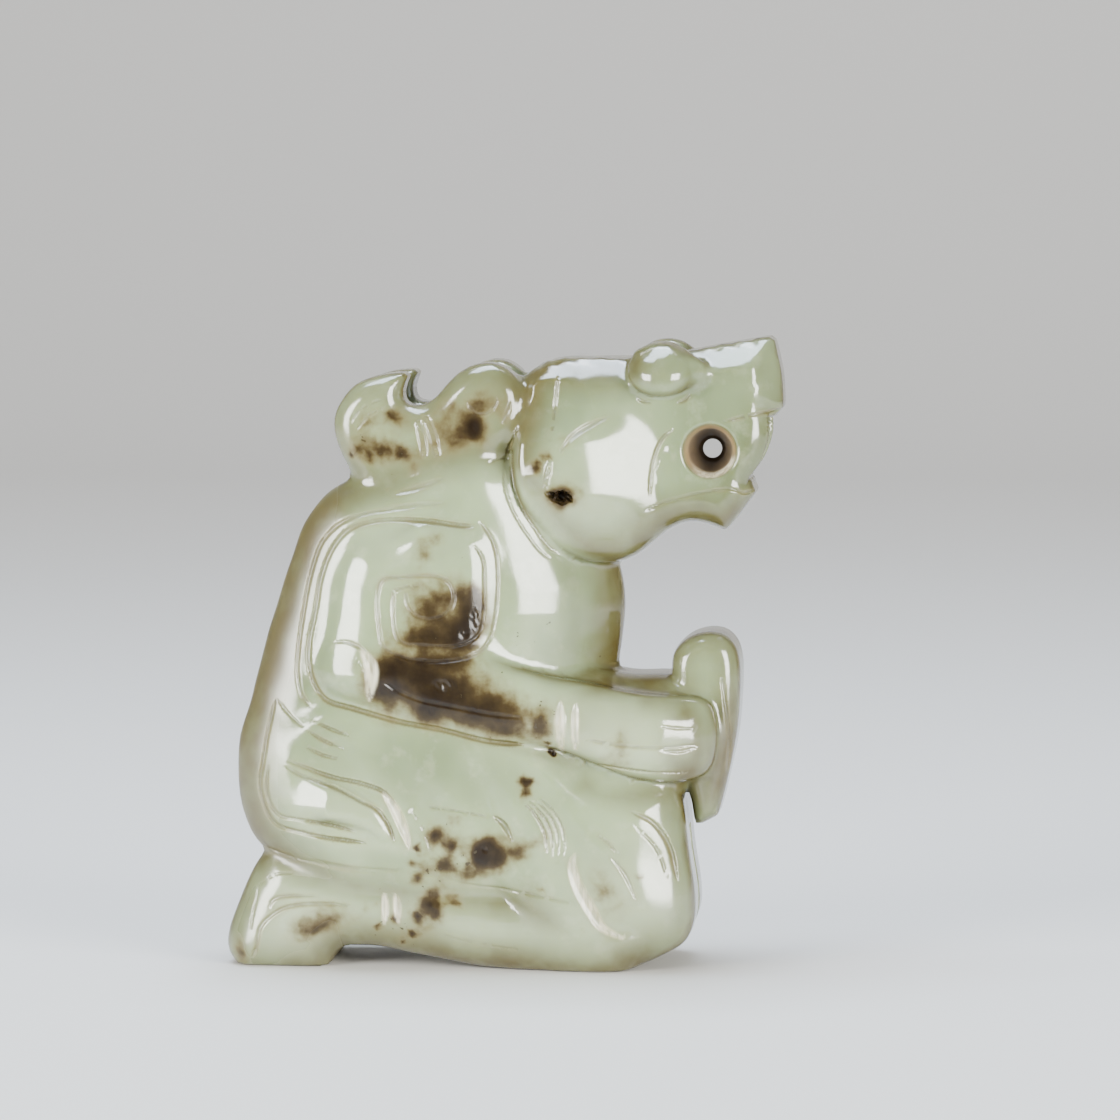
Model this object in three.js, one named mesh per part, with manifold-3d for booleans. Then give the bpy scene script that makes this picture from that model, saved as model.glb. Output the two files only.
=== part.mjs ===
// A jade carving, about 63 mm high, of a kneeling figure with a beast's head.
// The muzzle is raised, a pair of hooked horns lies back over the nape, and both hands hold a tablet upright.
// Millimetres. +Z is up, the figure faces +X, and its two sides mirror each other across the plane Y = 0.
//
// The form is a field of distances: rounded plates cut to the side outlines of the trunk, head, limbs and
// horns are blended into one body, lines are engraved into it, and the surface where the field is zero
// becomes a mesh.
import * as THREE from "three";
import { mergeVertices } from "three/addons/utils/BufferGeometryUtils.js";
import Module from "manifold-3d";

// Half the width across of each part, from the middle plane. A taper is how much the hands or the feet narrow
// for each millimetre towards their tips.
const TRUNK_HALF = 9.8;
const HEAD_HALF = 7.6;
const MUZZLE_HALF = 6.2;
const SHOULDER_HALF = 11.7;
const HAND_TAPER = 0.06;
const THIGH_HALF = 10.6;
const HIP_HALF = 12.0;
const CALF_HALF = 9.8;
const FOOT_TAPER = 0.06;
const TABLET_HALF = 5.6;
const WRIST_BLOCK_HALF = 6.4;
const HORN_INNER = 1.3;
const HORN_OUTER = 8.4;

// The chest falls away to the front in a curve, which starts further back up on the neck. Towards the waist
// it falls away downwards too.
const CHEST_CURVE = 0.045;
const CHEST_START = -1.9;
const CHEST_LEAST = 4.6;
const NECK_LEAN = 0.33;
const NECK_FOOT = 38.5;
const WAIST_FALL = 0.09;
const WAIST_TOP = 36.0;

// The cheek is a ramp that rises from the crease of the mouth to a soft peak before the ear
const CHEEK_PEAK = [6.6, 50.0];
const CHEEK_RISE = 1.9;
const CHEEK_CREASE = 15.6;

// The face of the upper arm slopes down to its rim from this far inside it, and the slope begins in a bend
const ARM_SLOPE = 0.58;
const ARM_SLOPE_START = 4.2;
const ARM_SLOPE_BEND = 2.2;

// The shoulder falls away to the front, down to the chest
const SHOULDER_FALL = 1.3;

// The backs of the fingers have a low ridge along them, and from here they fall away to their tips, by this
// much for each millimetre
const FINGER_RIDGE = 0.4;
const FINGER_START = 16.0;
const FINGER_FALL = 0.37;

// The hip has a ridge down it, from which it falls away to the back and, more gently, to the front and up
const HIP_RIDGE = -17.0;
const HIP_FALLS = { back: 0.36, front: 0.14, up: 0.08 };

// The oval bosses of the eyes, which lean in at the top, with a small fold at the front corner of each
const EYE_RADII = [3.35, 2.9, 2.75];
const EYE_CENTRE = [16.0, 6.4, 60.3];
const EYE_LEAN = 0.42;
const EYE_FOLD_RADII = [1.6, 1.2, 1.3];
const EYE_FOLD_CENTRE = [18.9, 6.1, 60.2];

// The hole drilled from both sides through the corner of the mouth
const HOLE_CENTRE = [20.8, 52.1];
const HOLE_RIM_RADIUS = 2.85;
const HOLE_RADIUS = 2.3;
const HOLE_WAIST_RADIUS = 1.3;
const HOLE_WAIST_LENGTH = 2.4;
const HOLE_CHAMFER = 0.8;
const HOLE_SIDES = 28;

// The mouth's recess between the lips, seen from the front
const MOUTH_HALF = 4.4;
const MOUTH_FLOOR = 49.3;
const MOUTH_ROOF = 55.4;
const MOUTH_BACK = 24.6;

// The grooves that part the left and right limbs: where each starts, how far it runs in and how high it goes
const KNEE_GAP = { start: 19.5, depth: 4.5, top: 14.0 };
const FOOT_GAP = { start: -27.5, depth: 5.0, top: 11.5 };
const GAP_HALF = 1.1;

// The carving's mesh
const GRID_STEP = 0.45;
const TRIANGLES = 9200;
const LOW = [-29.5, -13.0, -2.5];
const HIGH = [30.0, 13.0, 65.5];

// Side outlines, as [x, z]. An outline is a list of runs: each run is a smooth curve, and runs meet at
// corners.
const TRUNK = [
  [
    [-14.3, 49.5], [-17.4, 47.9], [-19.8, 45.0], [-21.3, 41.2], [-23.2, 35.3], [-25.0, 28.5], [-26.1, 23.2],
    [-26.4, 19.0], [-25.8, 15.4], [-24.1, 12.2], [-17.0, 7.0], [-5.0, 5.0], [8.0, 7.0], [11.0, 16.0],
    [11.4, 24.0], [11.4, 30.4], [11.7, 33.2], [12.0, 36.4], [11.6, 39.8], [10.0, 44.0], [6.0, 50.0],
    [0.0, 53.0], [-6.0, 52.6], [-10.5, 50.8],
  ],
];

const HEAD = [
  [
    [27.0, 63.5], [22.7, 62.8], [18.4, 62.0], [12.0, 61.3], [8.7, 61.3], [5.8, 61.2], [3.6, 60.6],
    [2.3, 59.4], [1.8, 56.6], [1.3, 53.2], [1.1, 50.2], [1.6, 47.7], [2.8, 45.0], [4.3, 43.0],
    [5.9, 41.8], [7.8, 41.1], [9.8, 40.8], [11.8, 40.9], [13.5, 41.6], [15.2, 43.0], [16.8, 44.2],
    [18.6, 44.9], [20.4, 44.7], [22.4, 44.0],
  ],
  [[22.4, 44.0], [23.9, 45.9], [25.5, 48.0]],
  [[25.5, 48.0], [25.0, 48.7], [26.3, 50.8], [27.2, 53.5], [27.5, 56.0]],
  [[27.5, 56.0], [28.1, 56.3]],
  [[28.1, 56.3], [27.9, 59.6], [27.0, 63.5]],
];

const HORN = [
  [
    [-9.6, 59.9], [-10.5, 59.9], [-12.5, 59.6], [-14.6, 58.7], [-16.0, 57.2], [-16.8, 55.5],
    [-16.7, 53.4], [-15.6, 50.8], [-14.4, 49.4], [-12.7, 48.5], [-10.7, 48.7], [-7.7, 49.8],
    [-4.7, 50.8], [-1.7, 51.5], [0.3, 52.4], [1.6, 54.0], [2.3, 56.4], [1.9, 58.7], [0.7, 60.2],
    [-0.8, 60.9], [-2.4, 60.8], [-4.0, 60.0], [-5.4, 58.8], [-6.7, 57.4], [-7.8, 56.7], [-8.9, 56.6],
    [-9.7, 57.0], [-9.9, 58.0],
  ],
  [[-9.9, 58.0], [-9.6, 59.0], [-9.1, 59.7]],
  [[-9.1, 59.7], [-9.6, 59.9]],
];

const SHOULDER = [
  [
    [-4.3, 45.1], [-7.9, 45.6], [-12.3, 45.4], [-15.2, 44.5], [-16.8, 42.7], [-17.9, 39.8],
    [-18.5, 36.7], [-19.0, 33.6], [-19.1, 31.4], [-18.5, 29.1], [-17.4, 27.6], [-14.5, 26.7],
    [-10.1, 25.5], [-5.6, 24.6], [-1.1, 23.6], [2.5, 23.1], [6.3, 22.2], [9.8, 20.9], [13.8, 19.5],
    [17.2, 19.1], [19.7, 19.4], [21.0, 20.4], [21.6, 22.7], [21.5, 25.2], [20.9, 26.9], [19.7, 27.5],
    [17.5, 27.7], [13.0, 28.2], [8.3, 29.1], [3.8, 30.0], [1.2, 30.8], [0.0, 32.0], [0.0, 35.2],
    [0.1, 39.2], [-0.3, 42.7], [-1.4, 44.4],
  ],
];

const WRIST_BLOCK = [
  [[6.0, 30.0], [13.0, 29.5], [17.0, 29.4], [19.5, 28.0], [20.0, 22.0], [18.0, 17.5], [8.0, 15.0]],
];

const TABLET = [
  [
    [19.0, 16.4], [18.2, 20.0], [17.2, 26.0], [16.9, 30.4], [17.1, 31.6], [17.8, 32.6], [19.0, 33.5],
    [20.6, 33.9], [22.2, 33.6], [23.3, 32.5], [23.8, 30.6], [23.8, 27.0], [23.3, 22.5], [22.6, 19.0],
    [21.7, 15.3],
  ],
  [[21.7, 15.3], [19.3, 14.1]],
  [[19.3, 14.1], [19.0, 16.4]],
];

const THIGH = [
  [
    [-24.2, 12.8], [-25.8, 15.8], [-26.4, 19.3], [-25.9, 23.9], [-23.0, 27.0], [-10.0, 27.0],
    [2.0, 24.0], [12.0, 20.6], [16.6, 19.2], [17.8, 17.8], [18.3, 15.8], [18.9, 11.6], [19.5, 7.3],
    [19.4, 4.8], [18.4, 2.8], [16.0, 1.2], [12.5, -0.1], [9.5, -0.8], [5.5, -0.4], [2.0, 5.0],
    [-2.4, 9.1], [-8.3, 10.2], [-12.5, 10.3], [-20.4, 11.4],
  ],
];

const HIP = [
  [
    [-22.5, 20.8], [-23.2, 18.6], [-22.8, 16.9], [-21.9, 16.0], [-20.0, 15.6], [-16.5, 15.2], [-13.5, 14.5],
    [-10.9, 13.4], [-11.1, 15.2], [-12.1, 16.8], [-14.0, 17.9], [-16.5, 18.9], [-20.0, 20.1],
  ],
];

const CALF = [
  [
    [-23.5, 12.2], [-25.1, 10.1], [-26.9, 6.3], [-27.9, 3.2], [-28.0, 1.6], [-27.3, 0.2], [-26.4, -0.8],
  ],
  [[-26.4, -0.8], [-17.8, -0.8]],
  [[-17.8, -0.8], [-16.9, 1.1], [-15.9, 2.0]],
  [
    [-15.9, 2.0], [-13.0, 2.0], [-8.9, 1.3], [-4.7, 0.5], [-0.4, -0.1], [4.0, -0.6], [9.9, -1.0],
    [12.4, -0.4], [15.0, 4.0], [8.4, 7.5], [1.2, 8.7], [-2.4, 9.1], [-8.3, 10.5], [-12.5, 10.4],
    [-18.5, 12.0],
  ],
];

// Engraved lines, as [x, z], with the width and depth of each cut. A "lens" cut is widest in its middle.
const LINES = {
  neck: {
    points: [[1.0, 51.3], [1.3, 48.8], [2.0, 46.8], [3.3, 44.6], [4.8, 42.5], [5.6, 41.9]],
    width: 0.9,
    depth: 0.35,
  },
  brow: {
    points: [[5.75, 51.6], [7.4, 53.7], [9.1, 54.8], [11.1, 55.6]],
    width: 0.9,
    depth: 0.35,
    lens: true,
  },
  temple: { points: [[5.95, 60.7], [5.5, 57.2], [5.1, 53.0], [4.5, 48.2]], width: 0.7, depth: 0.2 },
  eyeFoldBack: { points: [[13.4, 57.6], [14.1, 57.1], [15.1, 56.9]], width: 0.7, depth: 0.25, lens: true },
  eyeFoldFront: { points: [[17.5, 56.9], [18.3, 57.2], [18.9, 57.9]], width: 0.7, depth: 0.25, lens: true },
  cheek: {
    points: [[17.3, 54.4], [16.1, 53.4], [15.4, 51.9], [14.95, 49.6], [14.8, 47.3]],
    width: 0.8,
    depth: 0.3,
  },
  mouth: {
    points: [[14.1, 46.1], [16.6, 47.1], [19.9, 47.9], [23.1, 48.3], [24.2, 47.9], [25.3, 48.2]],
    width: 0.8,
    depth: 0.3,
  },
  lip: { points: [[28.2, 56.3], [27.0, 56.1], [24.0, 55.5], [22.0, 55.0]], width: 0.8, depth: 0.3 },
  hornCurl: { points: [[-15.0, 53.9], [-14.0, 55.5], [-12.3, 56.7], [-11.3, 56.9]], width: 0.9, depth: 0.3 },
  hornBandBack: { points: [[-8.35, 55.5], [-7.8, 53.4], [-7.5, 51.3]], width: 1.0, depth: 0.4, lens: true },
  hornBandFront: { points: [[-7.5, 55.8], [-6.7, 53.6], [-6.15, 51.3]], width: 1.0, depth: 0.4, lens: true },
  hornLobe: {
    points: [[-3.2, 57.6], [-3.0, 56.5], [-2.2, 55.8], [-1.2, 55.9], [-0.4, 56.8], [-0.1, 57.8]],
    width: 0.8,
    depth: 0.3,
  },
  hornRim: { points: [[0.1, 54.7], [0.7, 55.8], [1.1, 57.2]], width: 0.8, depth: 0.25 },
  nape: { points: [[-10.6, 47.8], [-8.0, 48.5], [-5.1, 49.7]], width: 0.9, depth: 0.25, lens: true },
  armInner: {
    points: [
      [-2.4, 44.7], [-4.0, 44.8], [-7.6, 45.3], [-12.1, 45.2], [-15.0, 44.3], [-16.6, 42.5],
      [-17.8, 39.5], [-18.3, 36.4], [-18.9, 33.4], [-19.0, 31.0], [-18.4, 28.8], [-17.3, 27.3],
      [-14.4, 26.4], [-9.9, 25.2], [-5.5, 24.4], [-1.0, 23.3], [2.7, 22.9],
    ],
    width: 0.85,
    depth: 0.4,
  },
  armOuter: {
    points: [
      [-7.8, 46.6], [-13.2, 45.9], [-15.9, 44.9], [-17.7, 43.1], [-18.8, 40.2], [-19.5, 36.7],
      [-20.0, 33.3], [-20.2, 29.9], [-19.8, 27.8], [-18.9, 26.5],
    ],
    width: 0.8,
    depth: 0.35,
  },
  armSpiral: {
    points: [
      [-1.9, 45.2], [-0.9, 43.8], [-0.3, 42.2], [-0.1, 39.2], [-0.4, 35.4], [-1.1, 33.1], [-2.3, 32.0],
      [-5.7, 31.3], [-9.7, 31.8], [-11.3, 32.7], [-11.8, 34.9], [-11.9, 38.0], [-11.4, 39.4],
      [-9.7, 39.7], [-6.3, 39.8], [-4.8, 39.2], [-4.3, 37.8], [-4.7, 36.5], [-5.7, 35.7], [-7.0, 35.5],
      [-8.3, 36.0], [-9.0, 37.2], [-9.1, 38.4],
    ],
    width: 0.8,
    depth: 0.38,
  },
  armSpiralInner: {
    points: [
      [-2.5, 43.0], [-1.6, 41.6], [-1.4, 39.2], [-1.5, 35.8], [-2.1, 33.8], [-3.9, 32.9], [-7.4, 32.9],
      [-9.6, 33.2], [-10.2, 34.4], [-10.4, 37.2], [-10.2, 38.3],
    ],
    width: 0.7,
    depth: 0.3,
  },
  elbowHook: {
    points: [[-16.6, 33.1], [-14.9, 33.2], [-13.4, 32.5], [-12.6, 31.2], [-12.5, 29.6], [-12.9, 27.1]],
    width: 1.4,
    depth: 0.5,
    lens: true,
  },
  sleeve: {
    points: [[-11.4, 29.3], [-9.6, 28.2], [-7.6, 27.4], [-4.0, 26.7], [-1.0, 26.1], [2.7, 25.7]],
    width: 0.8,
    depth: 0.25,
  },
  cuffBack: { points: [[6.3, 27.5], [6.2, 25.2], [6.3, 21.9]], width: 1.2, depth: 0.4, lens: true },
  cuffFront: { points: [[7.8, 27.4], [7.7, 25.2], [7.75, 22.0]], width: 0.9, depth: 0.35, lens: true },
  fingerUpper: { points: [[8.6, 23.6], [11.6, 23.1], [14.7, 22.8], [20.3, 23.0]], width: 0.75, depth: 0.3 },
  fingerLower: { points: [[9.8, 21.0], [11.8, 20.7], [15.6, 20.3], [19.5, 20.2]], width: 0.75, depth: 0.3 },
  waistUpper: { points: [[-18.8, 25.4], [-17.0, 24.5], [-14.5, 23.6]], width: 0.6, depth: 0.25, lens: true },
  waistMiddle: { points: [[-19.7, 24.7], [-17.6, 23.3], [-15.1, 22.3]], width: 0.6, depth: 0.25, lens: true },
  waistLower: { points: [[-19.7, 22.9], [-17.6, 21.8], [-15.2, 21.3]], width: 0.6, depth: 0.25, lens: true },
  hipOuter: {
    points: [
      [-22.5, 27.3], [-23.1, 24.5], [-23.7, 20.9], [-24.0, 19.1], [-23.8, 17.4], [-23.0, 15.4],
      [-22.0, 14.5], [-20.0, 14.0], [-16.5, 13.4], [-13.0, 13.0],
    ],
    width: 0.8,
    depth: 0.35,
  },
  hipInner: {
    points: [
      [-23.1, 20.9], [-23.3, 18.2], [-22.8, 16.5], [-21.9, 15.6], [-20.0, 15.3], [-16.5, 14.7], [-14.2, 14.1],
    ],
    width: 0.7,
    depth: 0.3,
  },
  hipHook: { points: [[-22.4, 27.3], [-21.7, 26.5], [-20.3, 25.1], [-19.2, 24.4]], width: 0.7, depth: 0.3 },
  hipScrollUpper: {
    points: [[-21.7, 21.4], [-16.6, 19.6], [-13.4, 18.9], [-11.3, 18.0], [-9.9, 15.7], [-8.8, 12.3]],
    width: 0.8,
    depth: 0.35,
  },
  hipScrollLower: {
    points: [
      [-21.5, 20.7], [-19.9, 19.8], [-16.3, 18.6], [-13.8, 17.3], [-12.0, 16.3], [-10.9, 14.7], [-10.4, 13.1],
    ],
    width: 0.7,
    depth: 0.3,
  },
  thighTop: { points: [[-8.0, 16.8], [-4.2, 16.3], [-0.4, 15.6]], width: 0.7, depth: 0.2 },
  thighNick: { points: [[-0.5, 15.9], [0.6, 14.9], [1.5, 13.1]], width: 0.9, depth: 0.3, lens: true },
  thighFoldBack: {
    points: [[2.0, 17.9], [3.7, 16.5], [4.8, 14.7], [4.8, 10.8]],
    width: 0.7,
    depth: 0.25,
    lens: true,
  },
  thighFoldFront: {
    points: [[3.5, 18.1], [5.2, 16.7], [6.3, 14.9], [6.3, 11.0]],
    width: 0.7,
    depth: 0.25,
    lens: true,
  },
  legCrease: {
    points: [
      [-24.3, 12.3], [-20.6, 11.2], [-16.5, 10.5], [-8.2, 9.9], [-2.3, 8.7], [1.6, 8.3], [8.6, 6.9],
    ],
    width: 0.9,
    depth: 0.3,
  },
  kneeBack: {
    points: [[7.7, 12.2], [7.4, 10.8], [8.0, 8.8], [9.3, 6.4], [10.4, 4.7], [12.9, 3.4]],
    width: 1.3,
    depth: 0.4,
    lens: true,
  },
  kneeTop: { points: [[9.5, 14.3], [11.1, 13.1], [12.4, 11.6]], width: 0.7, depth: 0.25 },
  kneeInner: { points: [[11.1, 12.0], [12.7, 10.0], [13.9, 7.2]], width: 0.8, depth: 0.3, lens: true },
  kneeOuter: { points: [[13.0, 16.4], [15.3, 15.2], [16.9, 12.9], [17.8, 9.0]], width: 0.8, depth: 0.35 },
  footOuter: {
    points: [
      [-25.2, 1.0], [-24.7, 1.9], [-24.2, 4.1], [-23.0, 5.4], [-21.4, 6.2], [-18.2, 6.6], [-14.7, 6.4],
    ],
    width: 0.8,
    depth: 0.35,
  },
  footInner: { points: [[-23.4, 5.9], [-22.9, 6.9], [-21.4, 7.3], [-18.2, 7.3]], width: 0.7, depth: 0.25 },
  ankleBack: { points: [[-11.6, 7.9], [-11.5, 6.4], [-11.6, 4.6]], width: 0.9, depth: 0.35, lens: true },
  ankleFront: { points: [[-10.5, 7.8], [-10.3, 6.4], [-10.2, 4.7]], width: 0.9, depth: 0.35, lens: true },
};

const { clamp, lerp, smoothstep } = THREE.MathUtils;

// A map of the side view: one value for each point of a grid over x and z, read with bilinear interpolation.
class SideMap {
  constructor(step) {
    this.step = step;
    this.columns = Math.ceil((HIGH[0] - LOW[0]) / step) + 2;
    this.rows = Math.ceil((HIGH[2] - LOW[2]) / step) + 2;
    this.values = new Float32Array(this.columns * this.rows);
  }

  // Sets every value whose place lies in the box from low to high.
  fill(rule, low = [LOW[0], LOW[2]], high = [HIGH[0] + this.step, HIGH[2] + this.step]) {
    const first = low.map((value, axis) => Math.max(0, Math.floor((value - LOW[axis * 2]) / this.step)));
    const last = [
      Math.min(this.columns - 1, Math.ceil((high[0] - LOW[0]) / this.step)),
      Math.min(this.rows - 1, Math.ceil((high[1] - LOW[2]) / this.step)),
    ];
    for (let row = first[1]; row <= last[1]; row++)
      for (let column = first[0]; column <= last[0]; column++) {
        const at = row * this.columns + column;
        this.values[at] = rule(LOW[0] + column * this.step, LOW[2] + row * this.step, this.values[at]);
      }
    return this;
  }

  at(x, z) {
    const u = Math.min(Math.max((x - LOW[0]) / this.step, 0), this.columns - 1.001);
    const v = Math.min(Math.max((z - LOW[2]) / this.step, 0), this.rows - 1.001);
    const column = Math.floor(u);
    const row = Math.floor(v);
    const at = row * this.columns + column;
    const below = lerp(this.values[at], this.values[at + 1], u - column);
    const above = lerp(this.values[at + this.columns], this.values[at + this.columns + 1], u - column);
    return lerp(below, above, v - row);
  }
}

// The points of a smooth curve through a run of [x, z] points, as THREE.Vector2.
function smoothRun(run, closed = false) {
  const through = run.map(([x, z]) => new THREE.Vector3(x, 0, z));
  const curve = new THREE.CatmullRomCurve3(through, closed, "centripetal");
  const steps = run.length < 3 ? 1 : run.length * 5;
  return curve.getPoints(steps).map((point) => new THREE.Vector2(point.x, point.z));
}

// A closed polygon from an outline's runs. An outline of one run closes smoothly on itself.
function polygon(outline) {
  return outline.flatMap((run) => smoothRun(run, outline.length === 1).slice(0, -1));
}

// Distance from (x, z) to the segment from a to b, and how far along it the nearest point lies, from 0 to 1.
function toSegment(x, z, a, b) {
  const alongX = b.x - a.x;
  const alongZ = b.y - a.y;
  const share = ((x - a.x) * alongX + (z - a.y) * alongZ) / (alongX * alongX + alongZ * alongZ || 1);
  const t = clamp(share, 0, 1);
  return [Math.hypot(x - a.x - t * alongX, z - a.y - t * alongZ), t];
}

// The side map of signed distance to an outline, negative inside it.
function outlineMap(outline) {
  const corners = polygon(outline);
  return new SideMap(0.25).fill((x, z) => {
    let nearest = Infinity;
    let inside = false;
    corners.forEach((b, i) => {
      const a = corners[(i || corners.length) - 1];
      nearest = Math.min(nearest, toSegment(x, z, a, b)[0]);
      if (a.y > z !== b.y > z && x < ((b.x - a.x) * (z - a.y)) / (b.y - a.y) + a.x) inside = !inside;
    });
    return inside ? -nearest : nearest;
  });
}

// The side map of how deep the engraved lines cut, in millimetres.
function engravingMap(lines) {
  const map = new SideMap(0.12);
  for (const { points, width, depth, lens = false } of lines) {
    const path = smoothRun(points);
    const box = new THREE.Box2().setFromPoints(path).expandByScalar(width);
    const rule = (x, z, before) => {
      let cut = 0;
      for (let i = 1; i < path.length; i++) {
        const [distance, t] = toSegment(x, z, path[i - 1], path[i]);
        const along = (i - 1 + t) / (path.length - 1);
        const swell = lens ? Math.sqrt(Math.sin(Math.PI * along)) : 1;
        const across = Math.min(1, distance / ((width / 2) * swell || 1e-6));
        cut = Math.max(cut, depth * swell * (1 - across * across));
      }
      return Math.max(before, cut);
    };
    map.fill(rule, box.min.toArray(), box.max.toArray());
  }
  return map;
}

// The lesser of two values, rounded off over the blend where they are close.
function smoothMin(a, b, blend) {
  const near = Math.max(blend - Math.abs(a - b), 0) / blend;
  return Math.min(a, b) - (near * near * blend) / 4;
}

function smoothMax(a, b, blend) {
  return -smoothMin(-a, -b, blend);
}

// A plate cut to a side outline, from `inner` to `outer` across. Its rim is an elliptic round: `side` is how
// far the round reaches in from the outline, and `face` how far it reaches in from the plate's faces. `fall`
// lowers the face near the rim, and a `sharpness` under 2 turns the round into a bevel.
function plate(outline, outer, side, face, { inner = -Infinity, fall = () => 0, sharpness = () => 2 } = {}) {
  const map = outlineMap(outline);
  const [outerAt, sideAt] = [outer, side].map((size) => (typeof size === "function" ? size : () => size));
  return (x, w, z) => {
    const edge = map.at(x, z);
    const far = outerAt(x, z) - fall(x, z, -edge);
    const round = sideAt(x, z);
    const u = edge / round + 1;
    const v = Math.max(w - far, inner - w) / face + 1;
    const power = sharpness(x, z);
    const corner = (Math.max(u, 0) ** power + Math.max(v, 0) ** power) ** (1 / power);
    return (corner + Math.min(Math.max(u, v), 0) - 1) * Math.min(round, face);
  };
}

// An ellipsoid boss, as a field close to distance near its surface. It leans in as it rises.
function boss([cx, cw, cz], [rx, rw, rz], lean = 0) {
  return (x, w, z) => {
    const across = w + lean * (z - cz) - cw;
    return (Math.hypot((x - cx) / rx, across / rw, (z - cz) / rz) - 1) * Math.min(rx, rw, rz);
  };
}

// A soft swelling of the surface, as high as `height` at its middle.
function swelling(x, z, [cx, cz], reach, height) {
  return height * Math.exp(-((x - cx) ** 2 + (z - cz) ** 2) / (2 * reach * reach));
}

// Half the trunk's width, which falls away towards the front of the chest.
function chestHalf(x, z) {
  const start = CHEST_START - NECK_LEAN * clamp(z - NECK_FOOT, 0, 9);
  const front = smoothMax(TRUNK_HALF - CHEST_CURVE * Math.max(0, x - start) ** 2, CHEST_LEAST, 1.5);
  return front - WAIST_FALL * clamp(WAIST_TOP - z, 0, 6) * smoothstep(x, -2, 2);
}

// Half the head's width: the cheeks stand out from it, and it narrows to the muzzle.
function headHalf(x, z) {
  const narrow = lerp(HEAD_HALF, MUZZLE_HALF, smoothstep(x, 8, 17));
  const ramp = clamp((CHEEK_CREASE - x) / (CHEEK_CREASE - CHEEK_PEAK[0]), 0, 1);
  const tall = smoothstep(z, CHEEK_PEAK[1] - 7.0, CHEEK_PEAK[1] - 2.0) * (1 - smoothstep(z, 52.5, 57.0));
  return narrow + CHEEK_RISE * ramp * tall;
}

// Half the width over the arms, which narrows to the hand and then to the fingertips.
function armHalf(x, z) {
  const elbow = swelling(x, z, [-13.4, 29.2], 2.1, 0.9);
  const shoulder = SHOULDER_FALL * smoothstep(x, -9, 0.5) * smoothstep(z, 30, 34);
  const ridge = FINGER_RIDGE * smoothstep(x, 12, 16) * Math.exp(-((z - 23.6) ** 2) / 8);
  const tips = FINGER_FALL * smoothMax(x - FINGER_START, 0, 0.8);
  return SHOULDER_HALF - HAND_TAPER * Math.max(0, x + 4) - shoulder - tips + elbow + ridge;
}

// How much lower the upper arm's face is at a depth inside its outline. It falls less at the elbow.
function armFall(x, z, inside) {
  const upper = (1 - smoothstep(x, -12, -7)) * (0.35 + 0.65 * smoothstep(z, 29.5, 34));
  return ARM_SLOPE * upper * smoothMax(ARM_SLOPE_START - Math.max(inside, 0), 0, ARM_SLOPE_BEND);
}

// Half the hip's width, which is greatest along its ridge.
function hipHalf(x, z) {
  const { back, front, up } = HIP_FALLS;
  return HIP_HALF - back * Math.max(0, HIP_RIDGE - x) - front * Math.max(0, x - HIP_RIDGE) - up * (z - 15);
}

// How far the thigh's round reaches in from its outline: far at the seat and the knee, little between them.
function thighRound(x) {
  return 2.5 + 4.0 * (1 - smoothstep(x, -22, -17)) + 6.0 * smoothstep(x, 3, 11);
}

// The figure's parts and how softly each blends into those before it. w is how far a point is from the middle
// plane.
function figureParts() {
  const headRound = (x) => 1.3 + 1.3 * smoothstep(x, 3, 8);
  const topBevel = (x, z) => 2 - 0.85 * smoothstep(z, 52, 58);
  return [
    [plate(TRUNK, chestHalf, 6.0, 4.5), 0.1],
    [plate(THIGH, THIGH_HALF, thighRound, 5.2), 1.2],
    [plate(HIP, hipHalf, 1.2, 1.0, { inner: 0 }), 0.5],
    [plate(CALF, (x) => CALF_HALF + FOOT_TAPER * x, 3.8, 3.8), 0.8],
    [plate(HEAD, headHalf, headRound, 3.0, { sharpness: topBevel }), 0.8],
    [plate(SHOULDER, armHalf, 3.0, 2.2, { inner: 2, fall: armFall }), 0.8],
    [plate(WRIST_BLOCK, WRIST_BLOCK_HALF, 2.5, 4.0), 0.8],
    [plate(TABLET, TABLET_HALF, 1.8, 2.4), 0.5],
    [plate(HORN, HORN_OUTER, 2.0, 2.2, { inner: HORN_INNER }), 1.6],
    [boss(EYE_FOLD_CENTRE, EYE_FOLD_RADII), 1.2],
    [boss(EYE_CENTRE, EYE_RADII, EYE_LEAN), 0.8],
  ];
}

// How deep a point is inside the recess between the lips.
function mouthRecess(x, w, z) {
  const middle = (MOUTH_ROOF + MOUTH_FLOOR) / 2;
  const half = (MOUTH_ROOF - MOUTH_FLOOR) / 2;
  return Math.min(x - MOUTH_BACK, -Math.max(w - MOUTH_HALF, Math.abs(z - middle) - half));
}

// How deep a point is inside a groove between the limbs, from how far in it lies and how far off the middle.
function limbGap(inward, w, depth) {
  return GAP_HALF * (1 - Math.hypot(Math.max(0, inward) / depth, w / GAP_HALF));
}

// The whole carving's field: negative inside, zero on the surface.
function carving() {
  const parts = figureParts();
  const engraving = engravingMap(Object.values(LINES));
  return (x, y, z) => {
    const w = Math.abs(y);
    let value = Infinity;
    for (const [part, blend] of parts) value = smoothMin(value, part(x, w, z), blend);
    if (z < KNEE_GAP.top) value = Math.max(value, limbGap(KNEE_GAP.start - x, w, KNEE_GAP.depth));
    if (z < FOOT_GAP.top) value = Math.max(value, limbGap(x - FOOT_GAP.start, w, FOOT_GAP.depth));
    value = smoothMax(value, mouthRecess(x, w, z), 0.8);
    return value + engraving.at(x, z) * smoothstep(w, 2.5, 4.5);
  };
}

// Whether the cube corners whose bits are set hang together along the cube's edges.
function hangTogether(bits) {
  let reached = bits & -bits;
  for (let turn = 0; turn < 4; turn++)
    for (let c = 0; c < 8; c++)
      if (reached & (1 << c)) reached |= bits & ((1 << (c ^ 1)) | (1 << (c ^ 2)) | (1 << (c ^ 4)));
  return reached === bits;
}

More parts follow.
